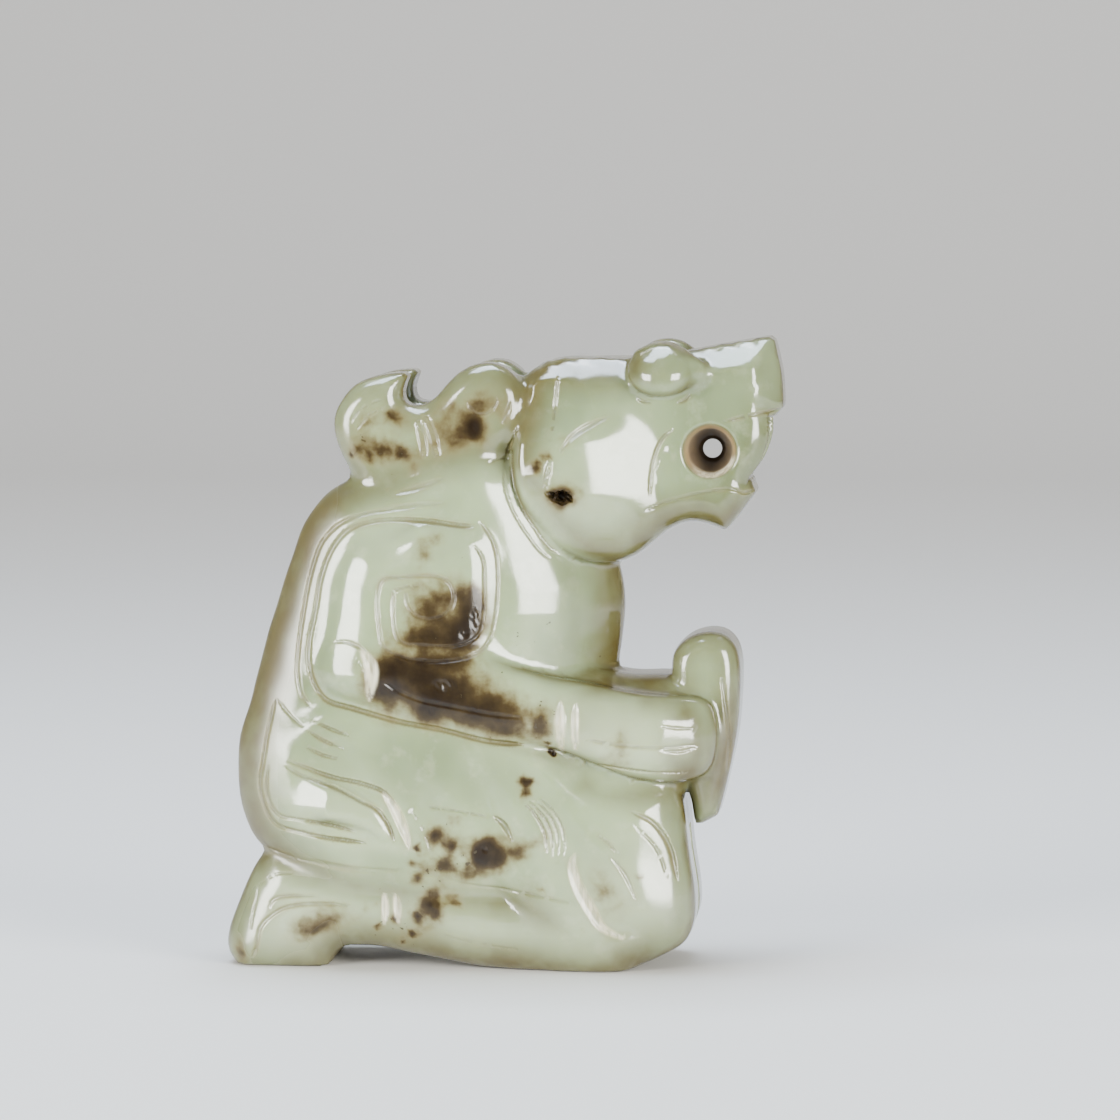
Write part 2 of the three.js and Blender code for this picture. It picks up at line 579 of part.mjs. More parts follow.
// The grid cells that the surface crosses, as the index of each cell's lowest corner.
function crossedCells(values, [nx, ny, nz], offsets) {
  const cells = [];
  for (let k = 0; k < nz - 1; k++)
    for (let j = 0; j < ny - 1; j++)
      for (let i = 0; i < nx - 1; i++) {
        const cell = (k * ny + j) * nx + i;
        if (offsets.filter((offset) => values[cell + offset] < 0).length % 8) cells.push(cell);
      }
  return cells;
}

// Leaves each grid cell with one plain sheet of surface at most, and gives back the cells that are crossed.
// In a cell with more sheets, the inside corner that is nearest the surface becomes an outside corner.
function untangle(values, size, offsets) {
  const plain = Array.from({ length: 256 }, (_, bits) => hangTogether(bits) && hangTogether(255 - bits));
  for (;;) {
    const cells = crossedCells(values, size, offsets);
    let changed = false;
    for (const cell of cells) {
      const inside = offsets.flatMap((offset, c) => (values[cell + offset] < 0 ? [c] : []));
      if (plain[inside.reduce((bits, c) => bits | (1 << c), 0)]) continue;
      const at = inside.map((c) => cell + offsets[c]);
      const nearest = at.reduce((a, b) => (values[b] > values[a] ? b : a));
      values[nearest] = 1e-4;
      changed = true;
    }
    if (!changed) return cells;
  }
}

// The surface where the field is zero, as one vertex for each grid cell that it crosses and two triangles for
// each grid edge that it crosses, with every vertex then moved on to the surface.
function surfaceMesh(field, step) {
  const size = LOW.map((low, axis) => Math.ceil((HIGH[axis] - low) / step) + 1);
  const [nx, ny, nz] = size;
  const place = (i, j, k) => [LOW[0] + i * step, LOW[1] + j * step, LOW[2] + k * step];
  const values = new Float32Array(nx * ny * nz);
  const index = (i, j, k) => (k * ny + j) * nx + i;
  for (let k = 0; k < nz; k++)
    for (let j = 0; j < ny; j++)
      for (let i = 0; i < nx; i++) values[index(i, j, k)] = field(...place(i, j, k));

  const corners = Array.from({ length: 8 }, (_, c) => [c & 1, (c >> 1) & 1, c >> 2]);
  const edges = corners.flatMap((corner, c) =>
    [0, 1, 2].filter((axis) => !corner[axis]).map((axis) => [c, c + (1 << axis), axis]),
  );
  const offsets = corners.map((corner) => index(...corner));
  const crossed = untangle(values, size, offsets);

  const positions = [];
  const vertexOf = new Map();
  for (const cell of crossed) {
    const at = offsets.map((offset) => values[cell + offset]);
    const sum = [cell % nx, Math.floor(cell / nx) % ny, Math.floor(cell / (nx * ny))];
    const crossings = edges.filter(([from, to]) => at[from] < 0 !== at[to] < 0);
    for (const [from, to, axis] of crossings) {
      const share = at[from] / (at[from] - at[to]);
      corners[from].forEach((offset, n) => {
        sum[n] += (offset + (n === axis ? share : 0)) / crossings.length;
      });
    }
    vertexOf.set(cell, positions.length / 3);
    positions.push(...place(...sum));
  }

  const triangles = [];
  const strides = [index(1, 0, 0), index(0, 1, 0), index(0, 0, 1)];
  for (let k = 1; k < nz - 1; k++)
    for (let j = 1; j < ny - 1; j++)
      for (let i = 1; i < nx - 1; i++)
        for (let axis = 0; axis < 3; axis++) {
          const from = index(i, j, k);
          const to = from + strides[axis];
          if (values[from] < 0 === values[to] < 0) continue;
          const across = strides[(axis + 1) % 3];
          const up = strides[(axis + 2) % 3];
          const quad = [from, from - across, from - across - up, from - up].map((cell) => vertexOf.get(cell));
          if (values[from] >= 0) quad.reverse();
          triangles.push(quad[0], quad[1], quad[2], quad[0], quad[2], quad[3]);
        }
  for (let v = 0; v < positions.length; v += 3) settle(field, positions, v, step);
  return { positions, triangles };
}

// Moves one vertex along the field's slope until the field is zero there.
function settle(field, positions, v, step) {
  const reach = 0.05;
  for (let turn = 0; turn < 3; turn++) {
    const [x, y, z] = positions.slice(v, v + 3);
    const value = field(x, y, z);
    const slope = new THREE.Vector3(
      field(x + reach, y, z) - field(x - reach, y, z),
      field(x, y + reach, z) - field(x, y - reach, z),
      field(x, y, z + reach) - field(x, y, z - reach),
    ).divideScalar(2 * reach);
    const move = slope.multiplyScalar(-value / Math.max(slope.lengthSq(), 0.05)).clampLength(0, step / 2);
    positions[v] += move.x;
    positions[v + 1] += move.y;
    positions[v + 2] += move.z;
  }
}

// A heap that gives back the entry with the least cost first.
class Heap {
  entries = [];

  push(entry) {
    const list = this.entries;
    let at = list.push(entry) - 1;
    while (at > 0) {
      const above = (at - 1) >> 1;
      if (list[above].cost <= entry.cost) break;
      list[at] = list[above];
      at = above;
    }
    list[at] = entry;
  }

  pop() {
    const list = this.entries;
    const top = list[0];
    const last = list.pop();
    if (!list.length) return top;
    let at = 0;
    for (;;) {
      let child = 2 * at + 1;
      if (child >= list.length) break;
      if (child + 1 < list.length && list[child + 1].cost < list[child].cost) child++;
      if (list[child].cost >= last.cost) break;
      list[at] = list[child];
      at = child;
    }
    list[at] = last;
    return top;
  }
}

// The squared distance to a plane, as the ten numbers of a symmetric quadratic form.
function planeForm(a, b, c) {
  const normal = new THREE.Vector3().subVectors(b, a).cross(new THREE.Vector3().subVectors(c, a));
  const area = normal.length() || 1e-12;
  const { x, y, z } = normal.divideScalar(area);
  const d = -(x * a.x + y * a.y + z * a.z);
  return [x * x, x * y, x * z, x * d, y * y, y * z, y * d, z * z, z * d, d * d].map((value) => value * area);
}

function formAt(q, { x, y, z }) {
  const onX = x * (q[0] * x + 2 * (q[1] * y + q[2] * z + q[3]));
  const onY = y * (q[4] * y + 2 * (q[5] * z + q[6]));
  return onX + onY + z * (q[7] * z + 2 * q[8]) + q[9];
}

// The point where a form is least, or null where that isn't one clear point.
function formLowest(q) {
  const matrix = new THREE.Matrix3().set(q[0], q[1], q[2], q[1], q[4], q[5], q[2], q[5], q[7]);
  if (Math.abs(matrix.determinant()) < 1e-4 * (q[0] + q[4] + q[7]) ** 3) return null;
  return new THREE.Vector3(-q[3], -q[6], -q[8]).applyMatrix3(matrix.invert());
}

// Thins a closed mesh out to about `target` triangles: the edges whose loss changes the shape least go first.
function thinOut({ positions, triangles }, target) {
  const pointAt = (_, v) => new THREE.Vector3().fromArray(positions, v * 3);
  const points = Array.from({ length: positions.length / 3 }, pointAt);
  const faces = Array.from({ length: triangles.length / 3 }, (_, f) => triangles.slice(f * 3, f * 3 + 3));
  const around = points.map(() => new Set());
  const forms = points.map(() => new Array(10).fill(0));
  const changes = new Uint32Array(points.length);
  faces.forEach((face, f) => {
    const form = planeForm(...face.map((v) => points[v]));
    for (const v of face) {
      around[v].add(f);
      form.forEach((value, n) => (forms[v][n] += value));
    }
  });

  const heap = new Heap();
  const neighbours = (v) => new Set([...around[v]].flatMap((f) => faces[f]).filter((other) => other !== v));
  const propose = (a, b) => {
    const form = forms[a].map((value, n) => value + forms[b][n]);
    const middle = new THREE.Vector3().lerpVectors(points[a], points[b], 0.5);
    const lowest = formLowest(form);
    const spread = points[a].distanceTo(points[b]);
    const choices = [middle, points[a], points[b]];
    if (lowest && lowest.distanceTo(middle) < spread) choices.unshift(lowest);
    const best = choices.reduce((x, y) => (formAt(form, y) < formAt(form, x) - 1e-12 ? y : x));
    const cost = Math.max(formAt(form, best), 0) + 1e-5 * spread * spread;
    heap.push({ a, b, place: best.clone(), form, cost, stamp: changes[a] + changes[b] });
  };
  const turnsOver = (v, other, place) =>
    [...around[v]].some((f) => {
      if (faces[f].includes(other)) return false;
      const before = new THREE.Triangle(...faces[f].map((n) => points[n])).getNormal(new THREE.Vector3());
      const moved = new THREE.Triangle(...faces[f].map((n) => (n === v ? place : points[n])));
      return moved.getNormal(new THREE.Vector3()).dot(before) < 0.3;
    });

  points.forEach((_, v) => neighbours(v).forEach((other) => v < other && propose(v, other)));
  let count = faces.length;
  while (count > target && heap.entries.length) {
    const { a, b, place, form, stamp } = heap.pop();
    if (!around[a].size || !around[b].size || stamp !== changes[a] + changes[b]) continue;
    const [nearA, nearB] = [neighbours(a), neighbours(b)];
    if (!nearA.has(b) || [...nearA].filter((v) => nearB.has(v)).length !== 2) continue;
    if (turnsOver(a, b, place) || turnsOver(b, a, place)) continue;
    for (const f of around[b]) {
      if (faces[f].includes(a)) {
        faces[f].forEach((v) => around[v].delete(f));
        faces[f] = null;
        count--;
      } else {
        faces[f] = faces[f].map((v) => (v === b ? a : v));
        around[a].add(f);
      }
    }
    around[b].clear();
    points[a].copy(place);
    forms[a] = form;
    changes[a]++;
    changes[b]++;
    neighbours(a).forEach((v) => {
      propose(a, v);
    });
  }
  return { positions: points.flatMap((point) => point.toArray()), triangles: faces.filter(Boolean).flat() };
}

const wasm = await Module();
wasm.setup();

// A geometry as a solid that can be joined or cut.
function solidOf(geometry) {
  geometry.deleteAttribute("normal");
  geometry.deleteAttribute("uv");
  const merged = mergeVertices(geometry, 1e-4);
  const mesh = new wasm.Mesh({
    numProp: 3,
    vertProperties: new Float32Array(merged.attributes.position.array),
    triVerts: new Uint32Array(merged.index.array),
  });
  return new wasm.Manifold(mesh);
}

function geometryOf({ positions, triangles }) {
  const geometry = new THREE.BufferGeometry();
  geometry.setAttribute("position", new THREE.BufferAttribute(new Float32Array(positions), 3));
  geometry.setIndex(new THREE.BufferAttribute(new Uint32Array(triangles), 1));
  return geometry;
}

// The drill's two halves, which widen from a waist on the middle plane, with a chamfer at each mouth.
function mouthDrill() {
  const face = MUZZLE_HALF;
  const flare = HOLE_RIM_RADIUS - HOLE_RADIUS;
  const half = [
    [HOLE_WAIST_RADIUS, 0],
    [lerp(HOLE_WAIST_RADIUS, HOLE_RADIUS, 0.35), HOLE_WAIST_LENGTH / 2],
    [HOLE_RADIUS, face - HOLE_CHAMFER],
    [HOLE_RIM_RADIUS, face],
    [HOLE_RIM_RADIUS + 3 * flare, face + 3 * HOLE_CHAMFER],
  ];
  const mirrored = half.slice(1).reverse().map(([radius, along]) => [radius, -along]);
  const profile = [[0, mirrored[0][1]], ...mirrored, ...half, [0, half.at(-1)[1]]];
  const points = profile.map(([radius, along]) => new THREE.Vector2(radius, along));
  return new THREE.LatheGeometry(points, HOLE_SIDES).translate(HOLE_CENTRE[0], 0, HOLE_CENTRE[1]);
}

// A block under the feet and knees that cuts them flat.
function floorBlock() {
  const depth = 10;
  return new THREE.BoxGeometry(100, 60, depth).translate(0, 0, -depth / 2);
}

function figureGeometry() {
  const surface = thinOut(surfaceMesh(carving(), GRID_STEP), TRIANGLES);
  const solid = solidOf(geometryOf(surface)).subtract(solidOf(mouthDrill())).subtract(solidOf(floorBlock()));
  const { vertProperties, triVerts } = solid.getMesh();
  const geometry = geometryOf({ positions: vertProperties, triangles: triVerts });
  geometry.computeBoundingBox();
  const { min, max } = geometry.boundingBox;
  return geometry.translate(-(min.x + max.x) / 2, -(min.y + max.y) / 2, -min.z);
}

const jade = new THREE.MeshStandardMaterial({ color: 0xb4bb9e, roughness: 0.22, metalness: 0 });

const figure = new THREE.Mesh(figureGeometry(), jade);
figure.name = "jade_figure";

const model = new THREE.Group();
model.add(figure);

export default model;
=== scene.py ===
"""A small jade carving of a kneeling figure with a beast's head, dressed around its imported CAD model.

The surface is the zero level of a field of distances. Rounded plates, cut to the side outlines of the
trunk, head, limbs and horns, blend into one body, and lines, pits and the hanging hole are then cut into
it. The field works in millimetres, with +Z up and the figure facing +X. The finished mesh is in metres and
fits the frame's box.
"""

import math
from typing import NamedTuple

import bpy
import numpy as np
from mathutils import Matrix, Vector


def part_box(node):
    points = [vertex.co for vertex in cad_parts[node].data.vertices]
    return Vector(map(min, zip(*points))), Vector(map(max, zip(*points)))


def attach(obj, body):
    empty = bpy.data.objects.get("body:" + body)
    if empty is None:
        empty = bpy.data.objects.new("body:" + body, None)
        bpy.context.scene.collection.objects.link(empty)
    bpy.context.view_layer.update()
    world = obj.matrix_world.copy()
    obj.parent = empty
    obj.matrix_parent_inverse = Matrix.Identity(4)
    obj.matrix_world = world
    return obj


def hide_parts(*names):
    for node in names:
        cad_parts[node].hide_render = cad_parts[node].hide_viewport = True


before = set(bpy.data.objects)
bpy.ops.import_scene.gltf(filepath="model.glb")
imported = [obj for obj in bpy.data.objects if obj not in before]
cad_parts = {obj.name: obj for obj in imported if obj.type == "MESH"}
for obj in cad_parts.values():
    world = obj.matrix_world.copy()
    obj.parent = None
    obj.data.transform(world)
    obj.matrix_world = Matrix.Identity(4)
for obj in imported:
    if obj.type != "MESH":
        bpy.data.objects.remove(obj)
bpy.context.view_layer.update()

bl_info = {
    "name": "Jade kneeling figure",
    "version": (1, 0, 0),
    "blender": (4, 5, 0),
    "location": "3D View > Sidebar > Jade",
    "description": "Carves a kneeling jade figure with a beast's head and sets a small studio round it",
    "category": "Add Mesh",
}

MM = 0.001
NODE = "jade_figure"

# Room that the field is worked out in
LOW = np.array([-29.5, -13.0, -2.0])
HIGH = np.array([30.0, 13.0, 65.5])

# Half the width of each part, measured across from the middle plane. A taper is the change for each
# millimetre along x.
TRUNK_HALF = 9.8
HEAD_HALF = 7.6
MUZZLE_HALF = 6.2
SHOULDER_HALF = 11.7
HAND_TAPER = 0.06
THIGH_HALF = 10.6
HIP_HALF = 12.0
CALF_HALF = 9.8
FOOT_TAPER = 0.06
TABLET_HALF = 5.6
WRIST_BLOCK_HALF = 6.4
HORN_INNER = 1.3
HORN_OUTER = 8.4

# The chest falls away in a curve to the front, which starts further back up the neck, and in to the waist
CHEST_CURVE = 0.045
CHEST_START = -1.9
CHEST_LEAST = 4.6
CHEST_BLEND = 1.5
NECK_LEAN = 0.33
NECK_FOOT = 38.5
NECK_HEIGHT = 9.0
WAIST_FALL = 0.09
WAIST_TOP = 36.0
WAIST_HEIGHT = 6.0
WAIST_FRONT = (-2.0, 2.0)

# The head narrows to the muzzle over this span of x
MUZZLE_SPAN = (8.0, 17.0)

# The cheek is a ramp that rises from the crease of the mouth to a soft peak before the ear. Its foot and its
# top are spans of z.
CHEEK_PEAK = 6.6
CHEEK_RISE = 1.9
CHEEK_CREASE = 15.6
CHEEK_FOOT = (43.0, 48.0)
CHEEK_TOP = (52.5, 57.0)

# Low swellings, as (centre, reach, height)
EAR_LOBE = ((3.9, 50.0), 0.85, 0.5)
ELBOW = ((-13.4, 29.2), 2.1, 0.9)

# The face of the upper arm slopes down to its rim from this far inside it, and the slope begins in a bend.
# It ends over spans of x and z, and keeps a part of its fall at the elbow.
ARM_SLOPE = 0.58
ARM_SLOPE_START = 4.2
ARM_SLOPE_BEND = 2.2
ARM_SLOPE_FRONT = (-12.0, -7.0)
ARM_SLOPE_FOOT = (29.5, 34.0)
ELBOW_SHARE = 0.35

# The hip has a ridge down it, and falls away from it to the back and, more gently, to the front and upwards
HIP_RIDGE = -17.0
HIP_FOOT = 15.0
HIP_FALLS = (0.36, 0.14, 0.08)

# The shoulder falls away to the front, down to the chest, over spans of x and z
SHOULDER_FALL = 1.3
SHOULDER_FRONT = (-9.0, 0.5)
SHOULDER_FOOT = (30.0, 34.0)

# The arm narrows to the hand from here
HAND_TAPER_START = -4.0

# The backs of the fingers have a low ridge along them, and from here they fall away to their tips, by this
# much for each millimetre
FINGER_RIDGE = 0.4
FINGER_RIDGE_START = (12.0, 16.0)
FINGER_RIDGE_REACH = 2.0
FINGER_HEIGHT = 23.6
FINGER_START = 16.0
FINGER_FALL = 0.37
FINGER_BEND = 0.8

# How far the thigh's round reaches in from its outline, and how much further at the seat and the knee
THIGH_ROUND = 2.5
SEAT_ROUND = 4.0
SEAT_SPAN = (-22.0, -17.0)
KNEE_ROUND = 6.0
KNEE_SPAN = (3.0, 11.0)

# The head's round reaches in less far at the nape than round the face, and its top edge is bevelled
NAPE_ROUND = 1.3
FACE_ROUND = 2.6
FACE_SPAN = (3.0, 8.0)
TOP_BEVEL = 0.85
TOP_SPAN = (52.0, 58.0)

# The oval bosses of the eyes, which lean in at the top, with a small fold at the front corner of each
EYE_RADII = (3.35, 2.9, 2.75)
EYE_CENTRE = (16.0, 6.4, 60.3)
EYE_LEAN = 0.42
EYE_FOLD_RADII = (1.6, 1.2, 1.3)
EYE_FOLD_CENTRE = (18.9, 6.1, 60.2)

# The hole drilled from both sides through the corner of the mouth
HOLE_CENTRE = (20.8, 52.1)
HOLE_RIM_RADIUS = 2.85
HOLE_BORE_RADIUS = 2.3
HOLE_WAIST_RADIUS = 1.3
HOLE_BORE_DEPTH = 5.5
HOLE_LIP = (MUZZLE_HALF - 1.2, MUZZLE_HALF + 0.4)
HOLE_RIDGE = 0.35
HOLE_RIDGE_HALF = 0.5

# The mouth's recess between the lips, seen from the front
MOUTH_HALF = 4.4
MOUTH_FLOOR = 49.3
MOUTH_ROOF = 55.4
MOUTH_BACK = 24.6
MOUTH_BLEND = 0.8

# The grooves that part the left and right limbs: where each starts, how far it runs in and how high it goes
KNEE_GAP_START = 19.5
KNEE_GAP_DEPTH = 4.5
KNEE_GAP_TOP = 14.0
FOOT_GAP_START = -27.5
FOOT_GAP_DEPTH = 5.0
FOOT_GAP_TOP = 11.5
GAP_HALF = 1.1

# Cut edges are rounded over this length
EDGE_BLEND = 0.3

# The whole surface is a little uneven, and the top of the head has finer ripples on its near side. The top
# rises to the front by a lean, and it begins over spans of z, x and distance from the middle plane.
WAVE_HEIGHT = 0.05
WAVE_LENGTH = 6.0
RIPPLE_HEIGHT = 0.1
RIPPLE_LENGTH = 2.0
HEAD_TOP_LEAN = 0.1
HEAD_TOP_FOOT = (58.8, 60.4)
HEAD_TOP_BACK = (1.0, 4.0)
HEAD_TOP_SIDE = (0.0, 2.0)

# Lines are cut on the sides alone, and fade out over this span of distances from the middle plane
LINE_SPAN = (2.5, 4.5)

# Natural pits are cut on the near side alone, at this distance from the middle plane or more. Their floors
# and edges are bumpy.
PIT_SIDE = 2.0
PIT_BUMP_LENGTH = 0.7
PIT_BUMP_HEIGHT = 0.3
PIT_RAGGEDNESS = 0.2
PIT_EDGE = (0.2, 1.2)

# Edges near fine carving are split in two rounds, while they are longer than this. The margins say how near
# to a recess, a pit or the hole is near enough, and the nearness how near to a line.
DETAIL_EDGES = (0.44, 0.28)
RECESS_MARGIN = 0.6
PIT_MARGIN = 0.3
LINE_NEARNESS = 0.32

# Side outlines, as (x, z). An outline is a list of runs: each run is one smooth curve, and runs meet at
# corners.
TRUNK = [
    [
        (-14.3, 49.5), (-17.4, 47.9), (-19.8, 45.0), (-21.3, 41.2), (-23.2, 35.3), (-25.0, 28.5),
        (-26.1, 23.2), (-26.4, 19.0), (-25.8, 15.4), (-24.1, 12.2), (-17.0, 7.0), (-5.0, 5.0),
        (8.0, 7.0), (11.0, 16.0), (11.4, 24.0), (11.4, 30.4), (11.7, 33.2), (12.0, 36.4), (11.6, 39.8),
        (10.0, 44.0), (6.0, 50.0), (0.0, 53.0), (-6.0, 52.6), (-10.5, 50.8),
    ],
]
HEAD = [
    [
        (27.0, 63.5), (22.7, 62.8), (18.4, 62.0), (12.0, 61.3), (8.7, 61.3), (5.8, 61.2), (3.6, 60.6),
        (2.3, 59.4), (1.8, 56.6), (1.3, 53.2), (1.1, 50.2), (1.6, 47.7), (2.8, 45.0), (4.3, 43.0),
        (5.9, 41.8), (7.8, 41.1), (9.8, 40.8), (11.8, 40.9), (13.5, 41.6), (15.2, 43.0), (16.8, 44.2),
        (18.6, 44.9), (20.4, 44.7), (22.4, 44.0),
    ],
    [(22.4, 44.0), (23.9, 45.9), (25.5, 48.0)],
    [(25.5, 48.0), (25.0, 48.7), (26.3, 50.8), (27.2, 53.5), (27.5, 56.0)],
    [(27.5, 56.0), (28.1, 56.3)],
    [(28.1, 56.3), (27.9, 59.6), (27.0, 63.5)],
]
HORN = [
    [
        (-9.6, 59.9), (-10.5, 59.9), (-12.5, 59.6), (-14.6, 58.7), (-16.0, 57.2), (-16.8, 55.5),
        (-16.7, 53.4), (-15.6, 50.8), (-14.4, 49.4), (-12.7, 48.5), (-10.7, 48.7), (-7.7, 49.8),
        (-4.7, 50.8), (-1.7, 51.5), (0.3, 52.4), (1.6, 54.0), (2.3, 56.4), (1.9, 58.7), (0.7, 60.2),
        (-0.8, 60.9), (-2.4, 60.8), (-4.0, 60.0), (-5.4, 58.8), (-6.7, 57.4), (-7.8, 56.7),
        (-8.9, 56.6), (-9.7, 57.0), (-9.9, 58.0),
    ],
    [(-9.9, 58.0), (-9.6, 59.0), (-9.1, 59.7)],
    [(-9.1, 59.7), (-9.6, 59.9)],
]
SHOULDER = [
    [
        (-4.3, 45.1), (-7.9, 45.6), (-12.3, 45.4), (-15.2, 44.5), (-16.8, 42.7), (-17.9, 39.8),
        (-18.5, 36.7), (-19.0, 33.6), (-19.1, 31.4), (-18.5, 29.1), (-17.4, 27.6), (-14.5, 26.7),
        (-10.1, 25.5), (-5.6, 24.6), (-1.1, 23.6), (2.5, 23.1), (6.3, 22.2), (9.8, 20.9), (13.8, 19.5),
        (17.2, 19.1), (19.7, 19.4), (21.0, 20.4), (21.6, 22.7), (21.5, 25.2), (20.9, 26.9),
        (19.7, 27.5), (17.5, 27.7), (13.0, 28.2), (8.3, 29.1), (3.8, 30.0), (1.2, 30.8), (0.0, 32.0),
        (0.0, 35.2), (0.1, 39.2), (-0.3, 42.7), (-1.4, 44.4),
    ],
]
WRIST_BLOCK = [
    [(6.0, 30.0), (13.0, 29.5), (17.0, 29.4), (19.5, 28.0), (20.0, 22.0), (18.0, 17.5), (8.0, 15.0)],
]
TABLET = [
    [
        (19.0, 16.4), (18.2, 20.0), (17.2, 26.0), (16.9, 30.4), (17.1, 31.6), (17.8, 32.6),
        (19.0, 33.5), (20.6, 33.9), (22.2, 33.6), (23.3, 32.5), (23.8, 30.6), (23.8, 27.0),
        (23.3, 22.5), (22.6, 19.0), (21.7, 15.3),
    ],
    [(21.7, 15.3), (19.3, 14.1)],
    [(19.3, 14.1), (19.0, 16.4)],
]
THIGH = [
    [
        (-24.2, 12.8), (-25.8, 15.8), (-26.4, 19.3), (-25.9, 23.9), (-23.0, 27.0), (-10.0, 27.0),
        (2.0, 24.0), (12.0, 20.6), (16.6, 19.2), (17.8, 17.8), (18.3, 15.8), (18.9, 11.6), (19.5, 7.3),
        (19.4, 4.8), (18.4, 2.8), (16.0, 1.2), (12.5, -0.1), (9.5, -0.8), (5.5, -0.4), (2.0, 5.0),
        (-2.4, 9.1), (-8.3, 10.2), (-12.5, 10.3), (-20.4, 11.4),
    ],
]
HIP = [
    [
        (-22.5, 20.8), (-23.2, 18.6), (-22.8, 16.9), (-21.9, 16.0), (-20.0, 15.6), (-16.5, 15.2),
        (-13.5, 14.5), (-10.9, 13.4), (-11.1, 15.2), (-12.1, 16.8), (-14.0, 17.9), (-16.5, 18.9),
        (-20.0, 20.1),
    ],
]
CALF = [
    [(-23.5, 12.2), (-25.1, 10.1), (-26.9, 6.3), (-27.9, 3.2), (-28.0, 1.6), (-27.3, 0.2), (-26.4, -0.8)],
    [(-26.4, -0.8), (-17.8, -0.8)],
    [(-17.8, -0.8), (-16.9, 1.1), (-15.9, 2.0)],
    [
        (-15.9, 2.0), (-13.0, 2.0), (-8.9, 1.3), (-4.7, 0.5), (-0.4, -0.1), (4.0, -0.6), (9.9, -1.0),
        (12.4, -0.4), (15.0, 4.0), (8.4, 7.5), (1.2, 8.7), (-2.4, 9.1), (-8.3, 10.5), (-12.5, 10.4),
        (-18.5, 12.0),
    ],
]


class Line(NamedTuple):
    """A cut line: a path of (x, z) points and the width and depth of the cut.

    A lens is widest in its middle, a spacing makes two cuts with a raised thread between them, and copies
    repeat the line at each pitch. Some wide cuts are pale and streaked: bare stone with a painted highlight.
    """

    points: list
    width: float
    depth: float
    lens: bool = False
    spacing: float = 0.0
    copies: int = 1
    pitch: tuple = (0.0, 0.0)
    bare_and_highlit: bool = False


HEAD_LINES = [
    # Double line behind the jaw
    Line([(1.0, 51.3), (1.3, 48.8), (2.0, 46.8), (3.3, 44.6), (4.8, 42.5), (5.6, 41.9)], 0.42, 0.15),
    Line([(0.3, 50.6), (0.5, 48.6), (1.2, 46.4), (2.5, 44.1), (4.1, 42.0), (5.2, 41.2)], 0.36, 0.12),
    # Temple and brow
    Line([(5.75, 51.6), (7.4, 53.7), (9.1, 54.8), (11.1, 55.6)], 0.75, 0.26, lens=True),
    Line([(5.95, 60.7), (5.65, 58.7), (5.5, 57.2), (5.3, 54.6), (5.1, 53.0)], 0.3, 0.12),
    Line([(5.2, 51.5), (4.9, 49.9), (4.5, 48.2)], 0.28, 0.12, spacing=0.42),
    # Creases under the eye
    Line([(13.4, 57.6), (14.1, 57.1), (15.1, 56.9)], 0.42, 0.18, lens=True),
    Line([(17.5, 56.9), (18.3, 57.2), (18.9, 57.9)], 0.42, 0.18, lens=True),
    # Cheek
    Line([(17.3, 54.4), (16.1, 53.4), (15.4, 51.9), (14.95, 49.6), (14.8, 47.3)], 0.45, 0.2),
    Line([(16.8, 53.2), (15.8, 51.2), (15.3, 49.3)], 0.25, 0.08),
    # Mouth and lips
    Line([(14.1, 46.1), (16.6, 47.1), (19.9, 47.9), (23.1, 48.3), (24.2, 47.9), (25.3, 48.2)], 0.34, 0.16),
    Line([(28.2, 56.3), (27.0, 56.1), (24.0, 55.5), (22.0, 55.0)], 0.35, 0.16),
    Line([(26.0, 55.4), (27.2, 55.5)], 0.26, 0.12, copies=4, pitch=(0.0, -0.42)),
]
HORN_LINES = [
    # Hooked end
    Line([(-15.2, 54.3), (-14.4, 55.8), (-12.6, 57.0), (-11.4, 57.3)], 0.3, 0.12),
    Line([(-14.8, 53.4), (-13.6, 55.2), (-11.9, 56.3), (-11.2, 56.5)], 0.3, 0.12),
    # Threads round the middle
    Line([(-8.35, 55.5), (-7.8, 53.4), (-7.5, 51.3)], 0.42, 0.16, lens=True, spacing=0.5),
    Line([(-7.5, 55.8), (-6.7, 53.6), (-6.15, 51.3)], 0.42, 0.16, lens=True, spacing=0.5),
    # Curl and root
    Line([(-3.2, 57.6), (-3.0, 56.5), (-2.2, 55.8), (-1.2, 55.9), (-0.4, 56.8), (-0.1, 57.8)], 0.35, 0.15),
    Line([(0.1, 54.7), (0.7, 55.8), (1.1, 57.2)], 0.5, 0.18, lens=True),
    Line([(1.9, 54.6), (1.2, 53.2), (0.6, 51.9), (0.4, 50.9)], 0.4, 0.18),
    Line([(-1.6, 50.8), (0.3, 51.4), (0.9, 51.2)], 0.35, 0.15),
    # Nape and the hook's tip
    Line([(-10.6, 47.8), (-8.0, 48.5), (-5.1, 49.7)], 0.8, 0.2, lens=True),
    Line([(-9.4, 59.8), (-9.8, 58.1), (-10.7, 57.5)], 0.2, 0.1),
]
